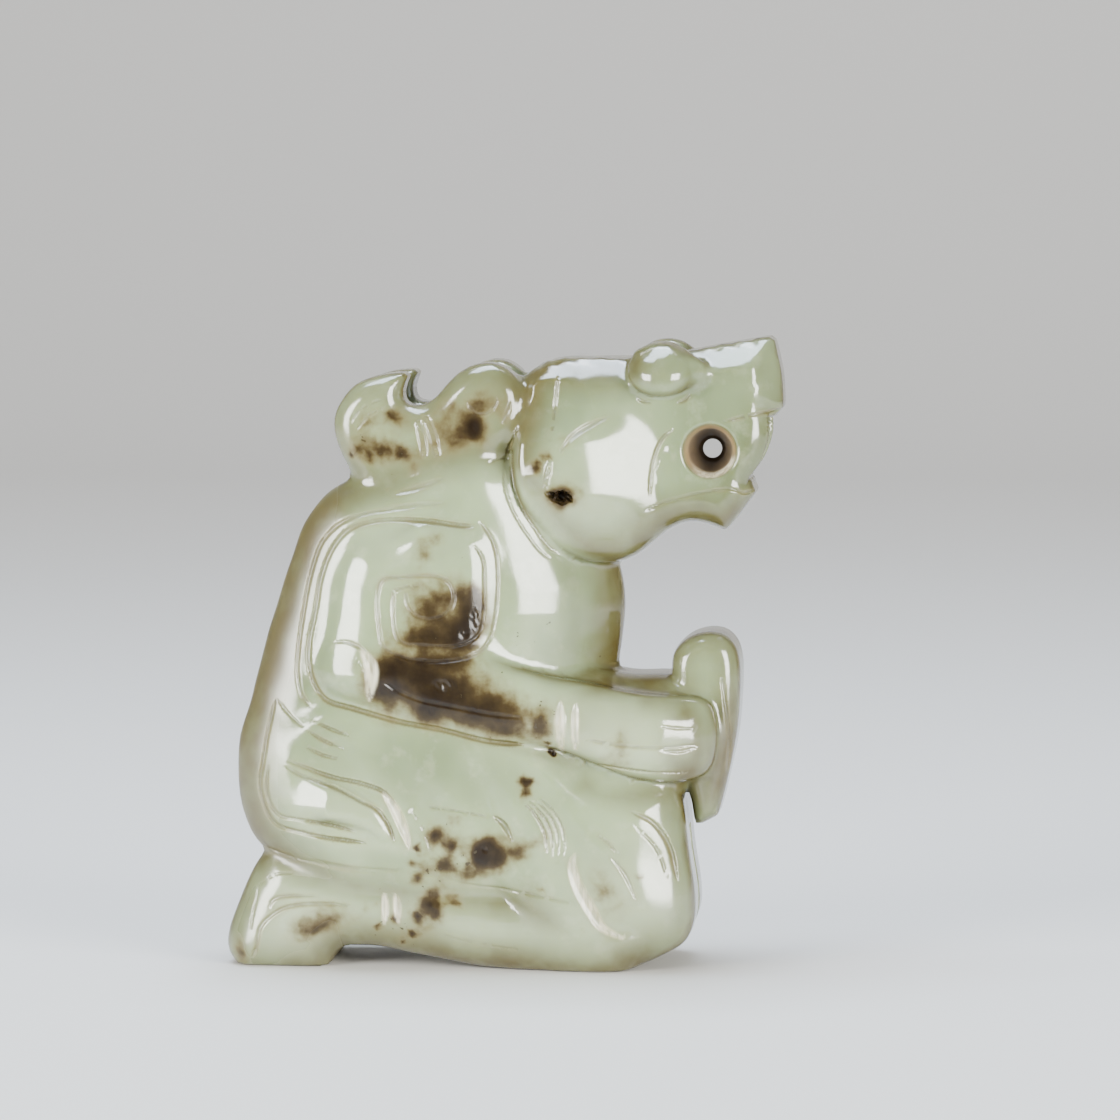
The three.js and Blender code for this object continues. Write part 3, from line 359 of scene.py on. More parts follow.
ARM_LINES = [
    # Double line round the upper arm and the forearm
    Line(
        [
            (-2.4, 44.7), (-4.0, 44.8), (-7.6, 45.3), (-12.1, 45.2), (-15.0, 44.3), (-16.6, 42.5),
            (-17.8, 39.5), (-18.3, 36.4), (-18.9, 33.4), (-19.0, 31.0), (-18.4, 28.8), (-17.3, 27.3),
            (-14.4, 26.4), (-9.9, 25.2), (-5.5, 24.4), (-1.0, 23.3), (2.7, 22.9),
        ],
        0.6, 0.26,
    ),
    Line(
        [
            (-7.8, 46.6), (-13.2, 45.9), (-15.9, 44.9), (-17.7, 43.1), (-18.8, 40.2), (-19.5, 36.7),
            (-20.0, 33.3), (-20.2, 29.9), (-19.8, 27.8), (-18.9, 26.5),
        ],
        0.5, 0.2,
    ),
    # Shoulder
    Line([(-12.4, 46.1), (-9.0, 46.7), (-5.0, 47.0)], 0.7, 0.16, lens=True),
    # Square spiral
    Line(
        [
            (-1.9, 45.2), (-0.9, 43.8), (-0.3, 42.2), (-0.1, 39.2), (-0.4, 35.4), (-1.1, 33.1),
            (-2.3, 32.0), (-5.7, 31.3), (-9.7, 31.8), (-11.3, 32.7), (-11.8, 34.9), (-11.9, 38.0),
            (-11.4, 39.4), (-9.7, 39.7), (-6.3, 39.8), (-4.8, 39.2), (-4.3, 37.8), (-4.7, 36.5),
            (-5.7, 35.7), (-7.0, 35.5), (-8.3, 36.0), (-9.0, 37.2), (-9.1, 38.4),
        ],
        0.42, 0.19,
    ),
    Line(
        [
            (-2.5, 43.0), (-1.6, 41.6), (-1.4, 39.2), (-1.5, 35.8), (-2.1, 33.8), (-3.9, 32.9),
            (-7.4, 32.9), (-9.6, 33.2), (-10.2, 34.4), (-10.4, 37.2), (-10.2, 38.3), (-9.2, 38.7),
            (-7.3, 38.9),
        ],
        0.38, 0.17,
    ),
    # Elbow hook
    Line([(-16.6, 33.1), (-14.9, 33.2), (-13.4, 32.5), (-12.6, 31.4)], 0.5, 0.2, lens=True),
    Line([(-13.7, 32.6), (-12.7, 31.2), (-12.5, 29.6), (-12.9, 27.1)], 1.5, 0.34, lens=True, bare_and_highlit=True),
    Line([(-14.4, 31.9), (-13.4, 30.6), (-13.3, 28.6)], 0.22, 0.08),
    # Forearm and cuff
    Line([(-11.4, 29.3), (-9.6, 28.2), (-7.6, 27.4), (-4.0, 26.7), (-1.0, 26.1), (2.7, 25.7)], 0.5, 0.14),
    Line([(6.3, 27.5), (6.2, 25.2), (6.3, 21.9)], 1.1, 0.2, lens=True, bare_and_highlit=True),
    Line([(7.8, 27.4), (7.7, 25.2), (7.75, 22.0)], 0.8, 0.2, lens=True, bare_and_highlit=True),
    Line([(6.15, 26.8), (6.05, 25.2), (6.15, 22.6)], 0.2, 0.07, copies=3, pitch=(0.33, 0.0)),
    Line([(7.8, 26.8), (7.7, 25.2), (7.75, 22.6)], 0.2, 0.07, copies=2, pitch=(0.3, 0.0)),
    # Hand and fingers
    Line([(8.6, 23.6), (11.6, 23.1), (14.7, 22.8), (20.3, 23.0)], 0.34, 0.14),
    Line([(16.0, 22.5), (18.1, 22.4), (20.1, 22.9)], 0.5, 0.16, lens=True),
    Line([(15.6, 25.1), (17.8, 24.7), (20.1, 24.6)], 0.4, 0.12, lens=True),
    Line([(9.8, 21.0), (11.8, 20.7), (15.6, 20.3), (19.5, 20.2)], 0.3, 0.12),
    # Tablet
    Line([(22.0, 29.8), (22.3, 27.4), (22.75, 23.0), (22.5, 19.5)], 0.45, 0.14),
]
HIP_LINES = [
    # Waist
    Line([(-18.8, 25.4), (-17.0, 24.5), (-14.5, 23.6)], 0.42, 0.16, lens=True),
    Line([(-19.7, 24.7), (-17.6, 23.3), (-15.1, 22.3)], 0.42, 0.16, lens=True),
    Line([(-19.7, 22.9), (-17.6, 21.8), (-15.2, 21.3)], 0.42, 0.16, lens=True),
    # Double line down the hip
    Line(
        [
            (-22.5, 27.3), (-23.1, 24.5), (-23.7, 20.9), (-24.0, 19.1), (-23.8, 17.4), (-23.0, 15.4),
            (-22.0, 14.5), (-20.0, 14.0), (-16.5, 13.4), (-13.0, 13.0),
        ],
        0.5, 0.22,
    ),
    Line(
        [
            (-23.1, 20.9), (-23.3, 18.2), (-22.8, 16.5), (-21.9, 15.6), (-20.0, 15.3), (-16.5, 14.7),
            (-14.2, 14.1),
        ],
        0.42, 0.18,
    ),
    # Scrolls over the hip
    Line([(-22.4, 27.3), (-21.7, 26.5), (-20.3, 25.1), (-19.2, 24.4)], 0.36, 0.15),
    Line(
        [(-21.7, 21.4), (-16.6, 19.6), (-13.4, 18.9), (-11.3, 18.0), (-9.9, 15.7), (-8.8, 12.3)],
        0.5, 0.2,
    ),
    Line([(-11.7, 18.2), (-10.4, 16.5), (-9.5, 14.5), (-8.8, 12.3)], 1.1, 0.2, lens=True, bare_and_highlit=True),
    Line(
        [
            (-21.5, 20.7), (-19.9, 19.8), (-16.3, 18.6), (-13.8, 17.3), (-12.0, 16.3), (-10.9, 14.7),
            (-10.4, 13.1),
        ],
        0.42, 0.17,
    ),
    # Fold beside the scrolls
    Line([(-9.1, 16.9), (-7.55, 14.5), (-6.4, 11.0)], 0.24, 0.08),
]
LEG_LINES = [
    # Folds over the thigh
    Line([(-8.0, 16.8), (-4.2, 16.3), (-0.4, 15.6)], 0.28, 0.08),
    Line([(-0.5, 15.9), (0.6, 14.9), (1.5, 13.1)], 0.75, 0.22, lens=True),
    Line(
        [(3.5, 18.1), (5.2, 16.7), (6.3, 14.9), (6.65, 13.0), (6.3, 11.0)],
        0.34, 0.14, lens=True, copies=4, pitch=(-0.6, -0.1),
    ),
    # Crease between thigh and shin
    Line([(-20.6, 11.2), (-16.5, 10.5), (-12.2, 9.8)], 0.8, 0.14, lens=True),
    Line(
        [(-24.3, 12.3), (-20.6, 11.2), (-16.5, 10.5), (-8.2, 9.9), (-2.3, 8.7), (1.6, 8.3), (8.6, 6.9)],
        0.4, 0.08,
    ),
    Line([(-6.5, 3.9), (-2.3, 2.9), (3.5, 2.1)], 0.26, 0.08),
    # Knee
    Line(
        [(7.7, 12.2), (7.4, 10.8), (8.0, 8.8), (9.3, 6.4), (10.4, 4.7), (12.9, 3.4)],
        1.3, 0.3, lens=True, bare_and_highlit=True,
    ),
    Line([(9.5, 14.3), (11.1, 13.1), (12.4, 11.6)], 0.34, 0.14),
    Line([(11.1, 12.0), (12.7, 10.0), (13.9, 7.2)], 0.5, 0.2, lens=True),
    Line([(13.0, 16.4), (15.3, 15.2), (16.9, 12.9), (17.8, 9.0)], 0.55, 0.22),
    Line([(13.3, 15.2), (15.7, 12.6), (16.9, 9.4)], 0.34, 0.12),
    # Foot
    Line(
        [(-25.2, 1.0), (-24.7, 1.9), (-24.2, 4.1), (-23.0, 5.4), (-21.4, 6.2), (-18.2, 6.6), (-14.7, 6.4)],
        0.5, 0.22,
    ),
    Line([(-23.4, 5.9), (-22.9, 6.9), (-21.4, 7.3), (-18.2, 7.3)], 0.42, 0.18),
    Line([(-24.4, 8.3), (-22.5, 9.5), (-19.9, 9.5)], 0.28, 0.1),
    Line([(-25.5, 2.2), (-25.0, 5.4), (-24.4, 8.3)], 0.28, 0.1),
    # Ankle
    Line([(-11.6, 7.9), (-11.5, 6.4), (-11.6, 4.6)], 0.8, 0.2, lens=True, bare_and_highlit=True),
    Line([(-10.5, 7.8), (-10.3, 6.4), (-10.2, 4.7)], 0.8, 0.2, lens=True, bare_and_highlit=True),
    Line([(-11.85, 7.4), (-11.75, 6.0), (-11.95, 4.4)], 0.2, 0.07, copies=2, pitch=(0.34, 0.0)),
    Line([(-10.7, 7.3), (-10.5, 6.2), (-10.4, 4.8)], 0.2, 0.07, copies=2, pitch=(0.34, 0.0)),
]
LINES = HEAD_LINES + HORN_LINES + ARM_LINES + HIP_LINES + LEG_LINES

# Natural pits and rough patches on the near side, as (x, z, half length, half height, depth, roughness)
PITS = [
    (6.3, 47.6, 1.1, 0.7, 1.4, 0.1), (5.1, 47.9, 0.6, 0.35, 0.5, 0.1),
    (-5.5, 28.9, 1.3, 0.8, 0.06, 0.26), (-6.6, 26.2, 0.4, 0.8, 0.04, 0.2),
    (-2.6, 26.5, 0.7, 0.3, 0.03, 0.2), (0.4, 25.2, 0.7, 0.3, 0.03, 0.15),
    (-2.4, 35.4, 0.5, 1.2, 0.04, 0.24), (-3.4, 33.9, 0.5, 0.5, 0.04, 0.2),
    (-2.6, 54.5, 0.4, 0.6, 0.05, 0.1), (5.1, 22.2, 0.2, 0.18, 0.15, 0.0),
    (5.45, 21.9, 0.2, 0.2, 0.15, 0.0), (-1.4, 12.4, 0.5, 0.4, 0.02, 0.1),
]

# Brown inclusions on the near side, as (x, z, half length, half height, turn in degrees, strength)
NEAR_STAINS = [
    # Forearm
    (-5.4, 27.8, 7.6, 2.9, -12, 0.85), (-5.6, 28.4, 1.9, 1.5, 0, 0.9), (-6.9, 25.9, 1.7, 1.4, 0, 0.6),
    (-0.6, 26.0, 3.4, 1.9, -20, 0.8), (1.4, 24.3, 1.6, 1.0, -20, 0.5),
    (-11.2, 28.6, 2.0, 2.8, 0, 0.75), (-7.1, 30.5, 4.4, 1.5, 0, 0.6), (4.6, 25.4, 1.1, 2.3, 0, 0.6),
    # Spiral
    (-6.3, 36.9, 3.3, 2.7, 0, 0.78), (-2.8, 34.8, 1.5, 2.6, -22, 1.1), (-6.8, 33.5, 3.9, 1.4, 0, 0.85),
    (-2.8, 38.0, 1.3, 1.9, 0, 0.5), (-7.2, 42.1, 1.0, 1.3, 0, 0.8), (-5.9, 43.6, 0.6, 0.8, 0, 0.6),
    (-6.0, 31.4, 3.4, 0.8, 0, 0.5),
    # Horn
    (-3.6, 55.0, 3.6, 2.6, 20, 0.7), (-2.6, 54.5, 0.8, 1.0, 0, 0.75), (-4.3, 53.4, 1.9, 0.9, 10, 0.4),
    (-1.6, 57.0, 2.0, 1.5, 0, 0.4), (-11.6, 52.4, 3.8, 1.9, -10, 0.5),
    (-13.6, 55.0, 1.6, 2.2, 0, 0.28), (-10.4, 55.6, 1.7, 1.4, 0, 0.46),
    (-8.9, 51.8, 1.2, 0.8, 0, 0.36),
    # Head
    (6.2, 47.6, 1.7, 1.3, -10, 1.3), (6.1, 53.6, 0.6, 0.5, 0, 0.45), (3.2, 57.0, 2.2, 3.4, 0, 0.16),
    # Thigh, shin and foot
    (-5.2, 12.2, 4.2, 3.4, 0, 0.34), (-0.3, 12.0, 3.0, 1.9, 0, 0.45), (3.0, 12.9, 2.2, 0.9, 25, 0.45),
    (-6.6, 6.8, 2.4, 2.2, 0, 0.34), (-9.6, 4.4, 3.6, 2.8, 0, 0.2), (-3.6, 10.0, 1.6, 0.8, 0, 0.55),
    (-17.2, 5.0, 3.0, 1.4, 20, 0.66), (-20.4, 3.8, 1.7, 1.1, 10, 0.42), (-26.4, 1.5, 0.9, 1.4, 0, 0.7),
    # Hand and knee
    (11.6, 21.3, 1.5, 1.0, 0, 0.55), (12.5, 23.2, 0.9, 1.6, 0, 0.34), (11.0, 8.3, 1.9, 3.0, 20, 0.42),
]

# Small dark spots on the near side, as (x, z, radius, strength)
SPOTS = [
    # Horn and neck
    (-15.0, 51.7, 0.3, 0.7), (-14.0, 52.2, 0.3, 0.6), (-13.0, 51.4, 0.4, 0.6), (-11.6, 52.2, 0.6, 0.5),
    (-11.0, 55.8, 0.5, 0.5), (-10.3, 55.1, 0.4, 0.4), (-9.7, 52.4, 0.5, 0.3), (-10.0, 51.7, 0.4, 0.3),
    (-8.6, 50.2, 0.4, 0.5), (-11.1, 48.4, 0.35, 0.5), (-4.2, 49.5, 0.5, 0.4), (3.7, 50.7, 0.7, 0.9),
    (4.7, 51.8, 0.5, 0.8),
    # Thigh
    (-6.3, 13.8, 0.9, 0.9), (-4.3, 15.4, 0.6, 0.7), (-4.8, 12.7, 0.6, 0.7), (-8.7, 11.0, 0.6, 0.8),
    (-8.2, 12.5, 0.4, 1.0), (-7.4, 10.4, 0.6, 0.4), (-5.5, 10.8, 0.9, 0.7), (-8.3, 9.3, 0.7, 0.8),
    (-1.1, 12.3, 1.2, 1.3), (0.0, 11.5, 1.0, 0.7), (-2.0, 11.2, 0.8, 0.5),
    # Shin
    (-7.1, 6.8, 0.9, 0.7), (-6.8, 8.0, 0.5, 0.5), (-8.2, 5.3, 0.5, 0.7), (-6.4, 5.6, 0.5, 0.5),
    (-4.8, 7.0, 0.4, 0.8), (-3.9, 6.8, 0.35, 0.7), (-8.7, 3.6, 0.4, 0.8), (-9.8, 2.7, 0.35, 0.8),
    (-13.4, 6.3, 0.4, 0.9), (-12.5, 6.5, 0.35, 0.8), (-12.3, 4.5, 0.4, 0.8), (-10.5, 5.2, 0.5, 0.8),
    # Lap, wrist and knee
    (2.6, 19.3, 0.6, 1.0), (3.3, 19.3, 0.5, 0.8), (2.8, 18.1, 0.6, 1.0), (5.1, 22.2, 0.3, 1.6),
    (5.45, 21.9, 0.3, 1.6), (4.8, 23.0, 0.25, 1.2), (4.2, 8.5, 0.25, 0.9), (4.7, 5.2, 0.25, 0.9),
    (8.5, 4.1, 0.25, 0.9), (14.2, 9.7, 0.25, 0.9),
]

# A few fainter inclusions on the far side
FAR_STAINS = [
    (-4.0, 29.5, 4.0, 1.8, 10, 0.75), (-12.0, 33.0, 1.8, 2.6, 0, 0.5), (-1.0, 13.0, 2.8, 1.6, 15, 0.8),
    (-14.0, 7.0, 1.8, 1.2, 0, 0.5), (-3.5, 55.0, 1.8, 1.4, 0, 0.6), (9.0, 46.5, 1.2, 0.9, 0, 0.55),
]

# Deeper and paler clouds in the stone, as (x, z, half length, half height, turn in degrees, strength).
# Deep clouds also paint shade on the muzzle, jaw and neck, and milky ones paint light on the hand and
# forearm.
DEEP_CLOUDS_AND_SHADE = [
    (22.0, 54.0, 8.0, 9.0, 0, 1.0), (9.5, 37.0, 5.0, 8.0, 0, 0.45), (21.5, 16.5, 3.0, 4.5, 0, 0.8),
    (-22.0, 36.0, 3.5, 14.0, 12, 0.7), (5.0, 57.0, 5.0, 4.0, 0, 0.6), (15.0, 46.5, 6.0, 2.5, 0, 0.3),
    (-3.0, 20.0, 13.0, 5.0, -6, 0.42),
]
MILKY_CLOUDS_AND_LIGHT = [
    (14.0, 8.0, 6.0, 7.0, 0, 0.7), (-16.0, 16.0, 6.0, 4.0, 0, 0.5), (-2.0, 4.5, 15.0, 3.0, 0, 0.6),
    (-20.5, 4.0, 4.5, 4.0, 0, 1.0), (-10.0, 43.0, 6.0, 3.0, 0, 0.4), (11.0, 24.0, 11.0, 3.5, -8, 1.0),
    (8.0, 46.5, 6.0, 4.0, 0, 0.7),
]

# Places where fine dark specks gather, as (x, z, half length, half height, turn in degrees, strength)
SPECKS = [
    (-12.0, 52.4, 4.0, 2.4, 0, 0.5), (-5.0, 11.5, 6.0, 4.5, 0, 0.6), (-10.6, 5.0, 3.0, 2.8, 0, 0.7),
    (4.9, 24.6, 1.8, 2.6, 0, 0.5), (4.4, 51.3, 1.2, 1.4, 0, 0.7), (11.0, 8.6, 2.0, 3.0, 0, 0.5),
    (0.0, 30.0, 12.0, 10.0, 0, 0.35),
]

# Soft-edged boxes of the side view, as the spans over which each starts and ends along x and then along z,
# where None is no edge. Rims have less of their patina and painted shade in some of them, by a share.
PALER_RIMS = [
    # Muzzle
    (1.0, ((13.0, 17.0), None, (45.0, 50.0), None)),
    # Knee and the tablet's foot
    (1.0, ((13.0, 17.0), None, None, (14.0, 19.0))),
    # Tablet's top
    (0.6, ((16.0, 18.0), None, (25.0, 30.0), (36.0, 40.0))),
    # Foot
    (0.7, (None, (-23.0, -20.0), None, (8.0, 12.0))),
    # Hand
    (1.1, ((4.0, 7.0), (13.0, 15.0), (19.0, 21.0), (27.0, 29.0))),
]
# The horn's rims have less patina and painted shade, the back's rims more, and the back and seat are matt
HORN_BOX = (None, (0.0, 3.0), (46.0, 50.0), None)
BACK_WEAR_AND_SHADE = (None, (-18.0, -14.0), (14.0, 18.0), None)
MATT_BACK = (None, (-18.0, -14.0), None, None)
MATT_SEAT = (None, (-22.8, -21.4), (12.0, 14.0), (28.0, 32.0))

# Rims darken over this span of signed distance from the silhouette, partly patina and partly painted shade.
# Painted shade also covers the faces that turn away from the side, over this span of tilt.
RIM_WEAR_AND_SHADE = (-5.2, -0.4)
SHADE_TILT = (0.08, 0.8)

# The near side's stains give way to the far side's over this span of y
SIDE_CHANGE = (-1.0, 1.5)

# A pale broken ledge in the hole: a ring round its axis, and the soft-edged box round the axis that holds it
LEDGE_RING = ((2.1, 2.3), (2.6, 2.75))
LEDGE_BOX = ((-2.2, -0.6), None, None, (-1.2, -0.2))

# Painted shade darkens the hole inside this span of distances from the middle plane
HOLE_SHADE_SPAN = (3.6, 5.6)

# Browns, from the faint edge of an inclusion to its heart, of the painted shade deep in the hole and of the
# specks
INCLUSION_BROWNS = [
    (0.0, (0.21, 0.20, 0.10, 1)), (0.3, (0.125, 0.10, 0.042, 1)), (0.6, (0.042, 0.028, 0.011, 1)),
    (1.0, (0.013, 0.008, 0.004, 1)),
]
HOLE_SHADE_BROWN = (0.05, 0.032, 0.016, 1)
SPECK_BROWN = (0.05, 0.04, 0.022, 1)

# The camera's place round the carving, in degrees, and the point that it looks at, in metres
CAMERA_AZIMUTH = 4.5
CAMERA_ELEVATION = 4.0
CAMERA_AIM = (0.00535, 0.0, 0.04075)

# The even, dim light of the room
ROOM_COLOUR = (0.92, 0.96, 1.0, 1)
ROOM_STRENGTH = 0.12


class Lamp(NamedTuple):
    """A rectangular light. Lengths are in metres and the power is in watts. The aim is the point it faces."""

    name: str
    place: tuple
    size: tuple
    power: float
    colour: tuple
    aim: tuple = (0.0, 0.0, 0.03)


LAMPS = [
    Lamp("left softbox", (-0.38, -0.38, 0.11), (0.29, 0.28), 7.4, (1.0, 0.99, 0.95)),
    Lamp("right softbox", (0.41, -0.37, 0.11), (0.30, 0.28), 7.6, (1.0, 0.99, 0.95)),
    Lamp("top light", (-0.05, 0.06, 0.52), (0.42, 0.22), 5.4, (0.72, 0.84, 1.0)),
    Lamp("wall light", (0.0, 0.45, 1.1), (1.2, 0.3), 12.0, (1.0, 1.0, 1.0), aim=(0.0, 1.4, 0.4)),
]


def smoothstep(value, low, high):
    """0 below low, 1 above high, and a smooth rise between."""
    share = np.clip((value - low) / (high - low), 0, 1)
    return share * share * (3 - 2 * share)


def band(value, rise, fall):
    """1 from the end of the rise to the start of the fall, and smooth over both spans. None is no limit."""
    risen = 1.0 if rise is None else smoothstep(value, *rise)
    fallen = 0.0 if fall is None else smoothstep(value, *fall)
    return risen * (1 - fallen)


def soft_box(x, z, x_start, x_end, z_start, z_end):
    """1 inside a soft-edged box of the side view and 0 outside it."""
    return band(x, x_start, x_end) * band(z, z_start, z_end)


def smooth_run(run, per_span=12):
    """Points of a centripetal Catmull-Rom curve through a run of (x, z) points."""
    through = np.array(run, float)
    if len(through) < 3:
        return through
    closed = np.allclose(through[0], through[-1])
    before = through[-2] if closed else 2 * through[0] - through[1]
    after = through[1] if closed else 2 * through[-1] - through[-2]
    padded = np.vstack([before, through, after])
    t = np.linspace(0, 1, per_span, endpoint=False)[:, None]
    spans = []
    for a, b, c, d in zip(padded, padded[1:], padded[2:], padded[3:]):
        ab, bc, cd = (np.sqrt(np.hypot(*step)) for step in (b - a, c - b, d - c))
        leave = (b - a) / ab - (c - a) / (ab + bc) + (c - b) / bc
        arrive = (c - b) / bc - (d - b) / (bc + cd) + (d - c) / cd
        spans.append(
            (2 * t**3 - 3 * t**2 + 1) * b
            + (t**3 - 2 * t**2 + t) * (leave * bc)
            + (3 * t**2 - 2 * t**3) * c
            + (t**3 - t**2) * (arrive * bc)
        )
    return np.vstack([*spans, through[-1:]])


def polygon(outline):
    """A closed polygon from an outline's runs. An outline of one run closes smoothly on itself."""
    if len(outline) == 1:
        return smooth_run(outline[0] + outline[0][:1])[:-1]
    return np.vstack([smooth_run(run)[:-1] for run in outline])


class SideMap:
    """One value for each point of a grid over x and z, read with smooth interpolation."""

    def __init__(self, step):
        self.step = step
        self.shape = tuple(int((HIGH[a] - LOW[a]) / step) + 4 for a in (0, 2))
        self.values = np.zeros(self.shape)

    def axes(self, low=(-1e3, -1e3), high=(1e3, 1e3)):
        """The grid's x and z values inside a box, and the slices that they fill."""
        slices, values = [], []
        for n, axis in enumerate((0, 2)):
            first = max(0, math.floor((max(low[n], LOW[axis]) - LOW[axis]) / self.step))
            last = min(self.shape[n], math.ceil((high[n] - LOW[axis]) / self.step) + 1)
            slices.append(slice(first, last))
            values.append(LOW[axis] + self.step * np.arange(first, last))
        return values[0][:, None], values[1][None, :], tuple(slices)

    def blur(self, sigma):
        """Softens the map over about sigma millimetres."""
        reach = max(1, round(3 * sigma / self.step))
        weights = np.exp(-0.5 * (np.arange(-reach, reach + 1) * self.step / sigma) ** 2)
        weights /= weights.sum()
        for axis in (0, 1):
            pad = [(reach, reach) if a == axis else (0, 0) for a in (0, 1)]
            padded = np.pad(self.values, pad, mode="edge")
            rows = self.values.shape[axis]
            self.values = sum(
                weight * np.take(padded, np.arange(n, n + rows), axis=axis)
                for n, weight in enumerate(weights)
            )
        return self

    def at(self, x, z):
        """The map's value at points, by quadratic B-spline."""
        taps = []
        for value, axis, size in ((x, 0, self.shape[0]), (z, 2, self.shape[1])):
            place = np.clip((value - LOW[axis]) / self.step, 1, size - 2.001)
            middle = np.rint(place).astype(int)
            part = place - middle
            weights = (0.5 * (0.5 - part) ** 2, 0.75 - part**2, 0.5 * (0.5 + part) ** 2)
            taps.append([(middle + n - 1, weight) for n, weight in enumerate(weights)])
        return sum(self.values[i, k] * (wx * wz) for i, wx in taps[0] for k, wz in taps[1])


def to_path(x, z, path):
    """The distance from each point to each segment of a path, and how far along the segment is nearest."""
    start, along = path[:-1], np.diff(path, axis=0)
    length = np.maximum((along**2).sum(1), 1e-12)
    dx, dz = x[..., None] - start[:, 0], z[..., None] - start[:, 1]
    share = np.clip((dx * along[:, 0] + dz * along[:, 1]) / length, 0, 1)
    return np.hypot(dx - share * along[:, 0], dz - share * along[:, 1]), share


def outline_map(outline):
    """The side map of signed distance to an outline, negative inside it."""
    side = SideMap(step=0.25)
    corners = polygon(outline)
    closed = np.vstack([corners, corners[:1]])
    x, z, _ = side.axes()
    x, z = np.broadcast_arrays(x, z)
    for rows in np.array_split(np.arange(side.shape[0]), 24):
        distance = to_path(x[rows], z[rows], closed)[0].min(-1)
        a, b = closed[:-1], closed[1:]
        crosses = (a[:, 1] > z[rows][..., None]) != (b[:, 1] > z[rows][..., None])
        rise = np.where(a[:, 1] == b[:, 1], 1.0, b[:, 1] - a[:, 1])
        reach = (b[:, 0] - a[:, 0]) * (z[rows][..., None] - a[:, 1]) / rise + a[:, 0]
        inside = (crosses & (x[rows][..., None] < reach)).sum(-1) % 2 == 1
        side.values[rows] = np.where(inside, -distance, distance)
    return side.blur(0.25)


def line_paths():
    """Each cut's path and its line, with the copies laid out."""
    for line in LINES:
        path = smooth_run(line.points, 8)
        for n in range(line.copies):
            yield path + n * np.array(line.pitch), line


def swell(line, along, length):
    """How full a cut is along its path. A lens swells to its middle, and other cuts taper at their ends."""
    if line.lens:
        return np.sin(np.pi * np.clip(along, 1e-3, 1 - 1e-3)) ** 0.75
    return np.clip(np.minimum(along, 1 - along) * length / 1.5, 0.02, 1) ** 0.6


def cut_depth(line, distance, fullness):
    """How deep a cut is at a distance from its path."""
    across = np.minimum(1, np.abs(distance - line.spacing / 2) / (line.width / 2 * fullness))
    return line.depth * fullness * (1 - across**2) ** 1.5


def line_nearness(line, distance, fullness):
    """1 on a cut, less where it is shallow or tapers, and 0 away from it."""
    half = (line.width + line.spacing) / 2
    return (1 - smoothstep(distance, half * 0.7, half + 0.25)) * min(1, line.depth / 0.2) * fullness


def bare_and_highlit_middle(line, distance, fullness):
    """1 in the middle of a pale cut, partly bare stone and partly painted highlight, and 0 outside it."""
    return 1 - smoothstep(distance, line.width * fullness * 0.35, line.width * fullness * 0.55)


def draw_line(side, path, line, profile, margin, chunk=16):
    """Draws a cut's profile into a side map, as far as a margin outside the cut, chunk by chunk."""
    length = np.linalg.norm(np.diff(path, axis=0), axis=1).sum()
    reach = (line.width + line.spacing) / 2 + margin
    x, z, place = side.axes(path.min(0) - reach, path.max(0) + reach)
    x, z = np.broadcast_arrays(x, z)
    best = np.zeros(x.shape)
    for n in range(0, len(path) - 1, chunk):
        distance, share = to_path(x, z, path[n : n + chunk + 1])
        along = (n + np.arange(distance.shape[-1]) + share) / (len(path) - 1)
        best = np.maximum(best, profile(line, distance, swell(line, along, length)).max(-1))
    side.values[place] = np.maximum(side.values[place], best)


def engraving_maps():
    """Side maps of the engraved lines: how deep they cut, how near a line is and how near a painted-highlight
    cut is.
    """
    depths, near, bare_and_highlit = SideMap(step=0.08), SideMap(step=0.16), SideMap(step=0.16)
    for path, line in line_paths():
        draw_line(depths, path, line, cut_depth, margin=0.2)
        draw_line(near, path, line, line_nearness, margin=0.8)
        if line.bare_and_highlit:
            draw_line(bare_and_highlit, path, line, bare_and_highlit_middle, margin=0.2)
    return depths, near, bare_and_highlit


def smooth_min(a, b, blend):
    """The lesser of two values, rounded off over the blend where they are close."""
    near = np.maximum(blend - np.abs(a - b), 0) / blend
    return np.minimum(a, b) - near * near * blend / 4


def smooth_max(a, b, blend):
    """The greater of two values, rounded off over the blend where they are close."""
    return -smooth_min(-a, -b, blend)


def swelling(x, z, centre, reach, height):
    """A soft swelling of the surface, as high as height at its middle."""
    return height * np.exp(-((x - centre[0]) ** 2 + (z - centre[1]) ** 2) / (2 * reach**2))


def waves(x, y, z, length):
    """A gentle unevenness, from about -1 to 1: seven plane waves, each about as long as length."""
    total = 0
    for n in range(7):
        turn, tilt = 2.4 * n + 0.5, 1.7 * n + 0.9
        flat = y * math.sin(turn) * math.cos(tilt) + z * math.sin(turn) * math.sin(tilt)
        along = x * math.cos(turn) + flat
        stretch = 1 + 0.35 * math.sin(5.1 * n)
        total = total + np.sin(2 * math.pi * along * stretch / length + 1.9 * n)
    return total / 4


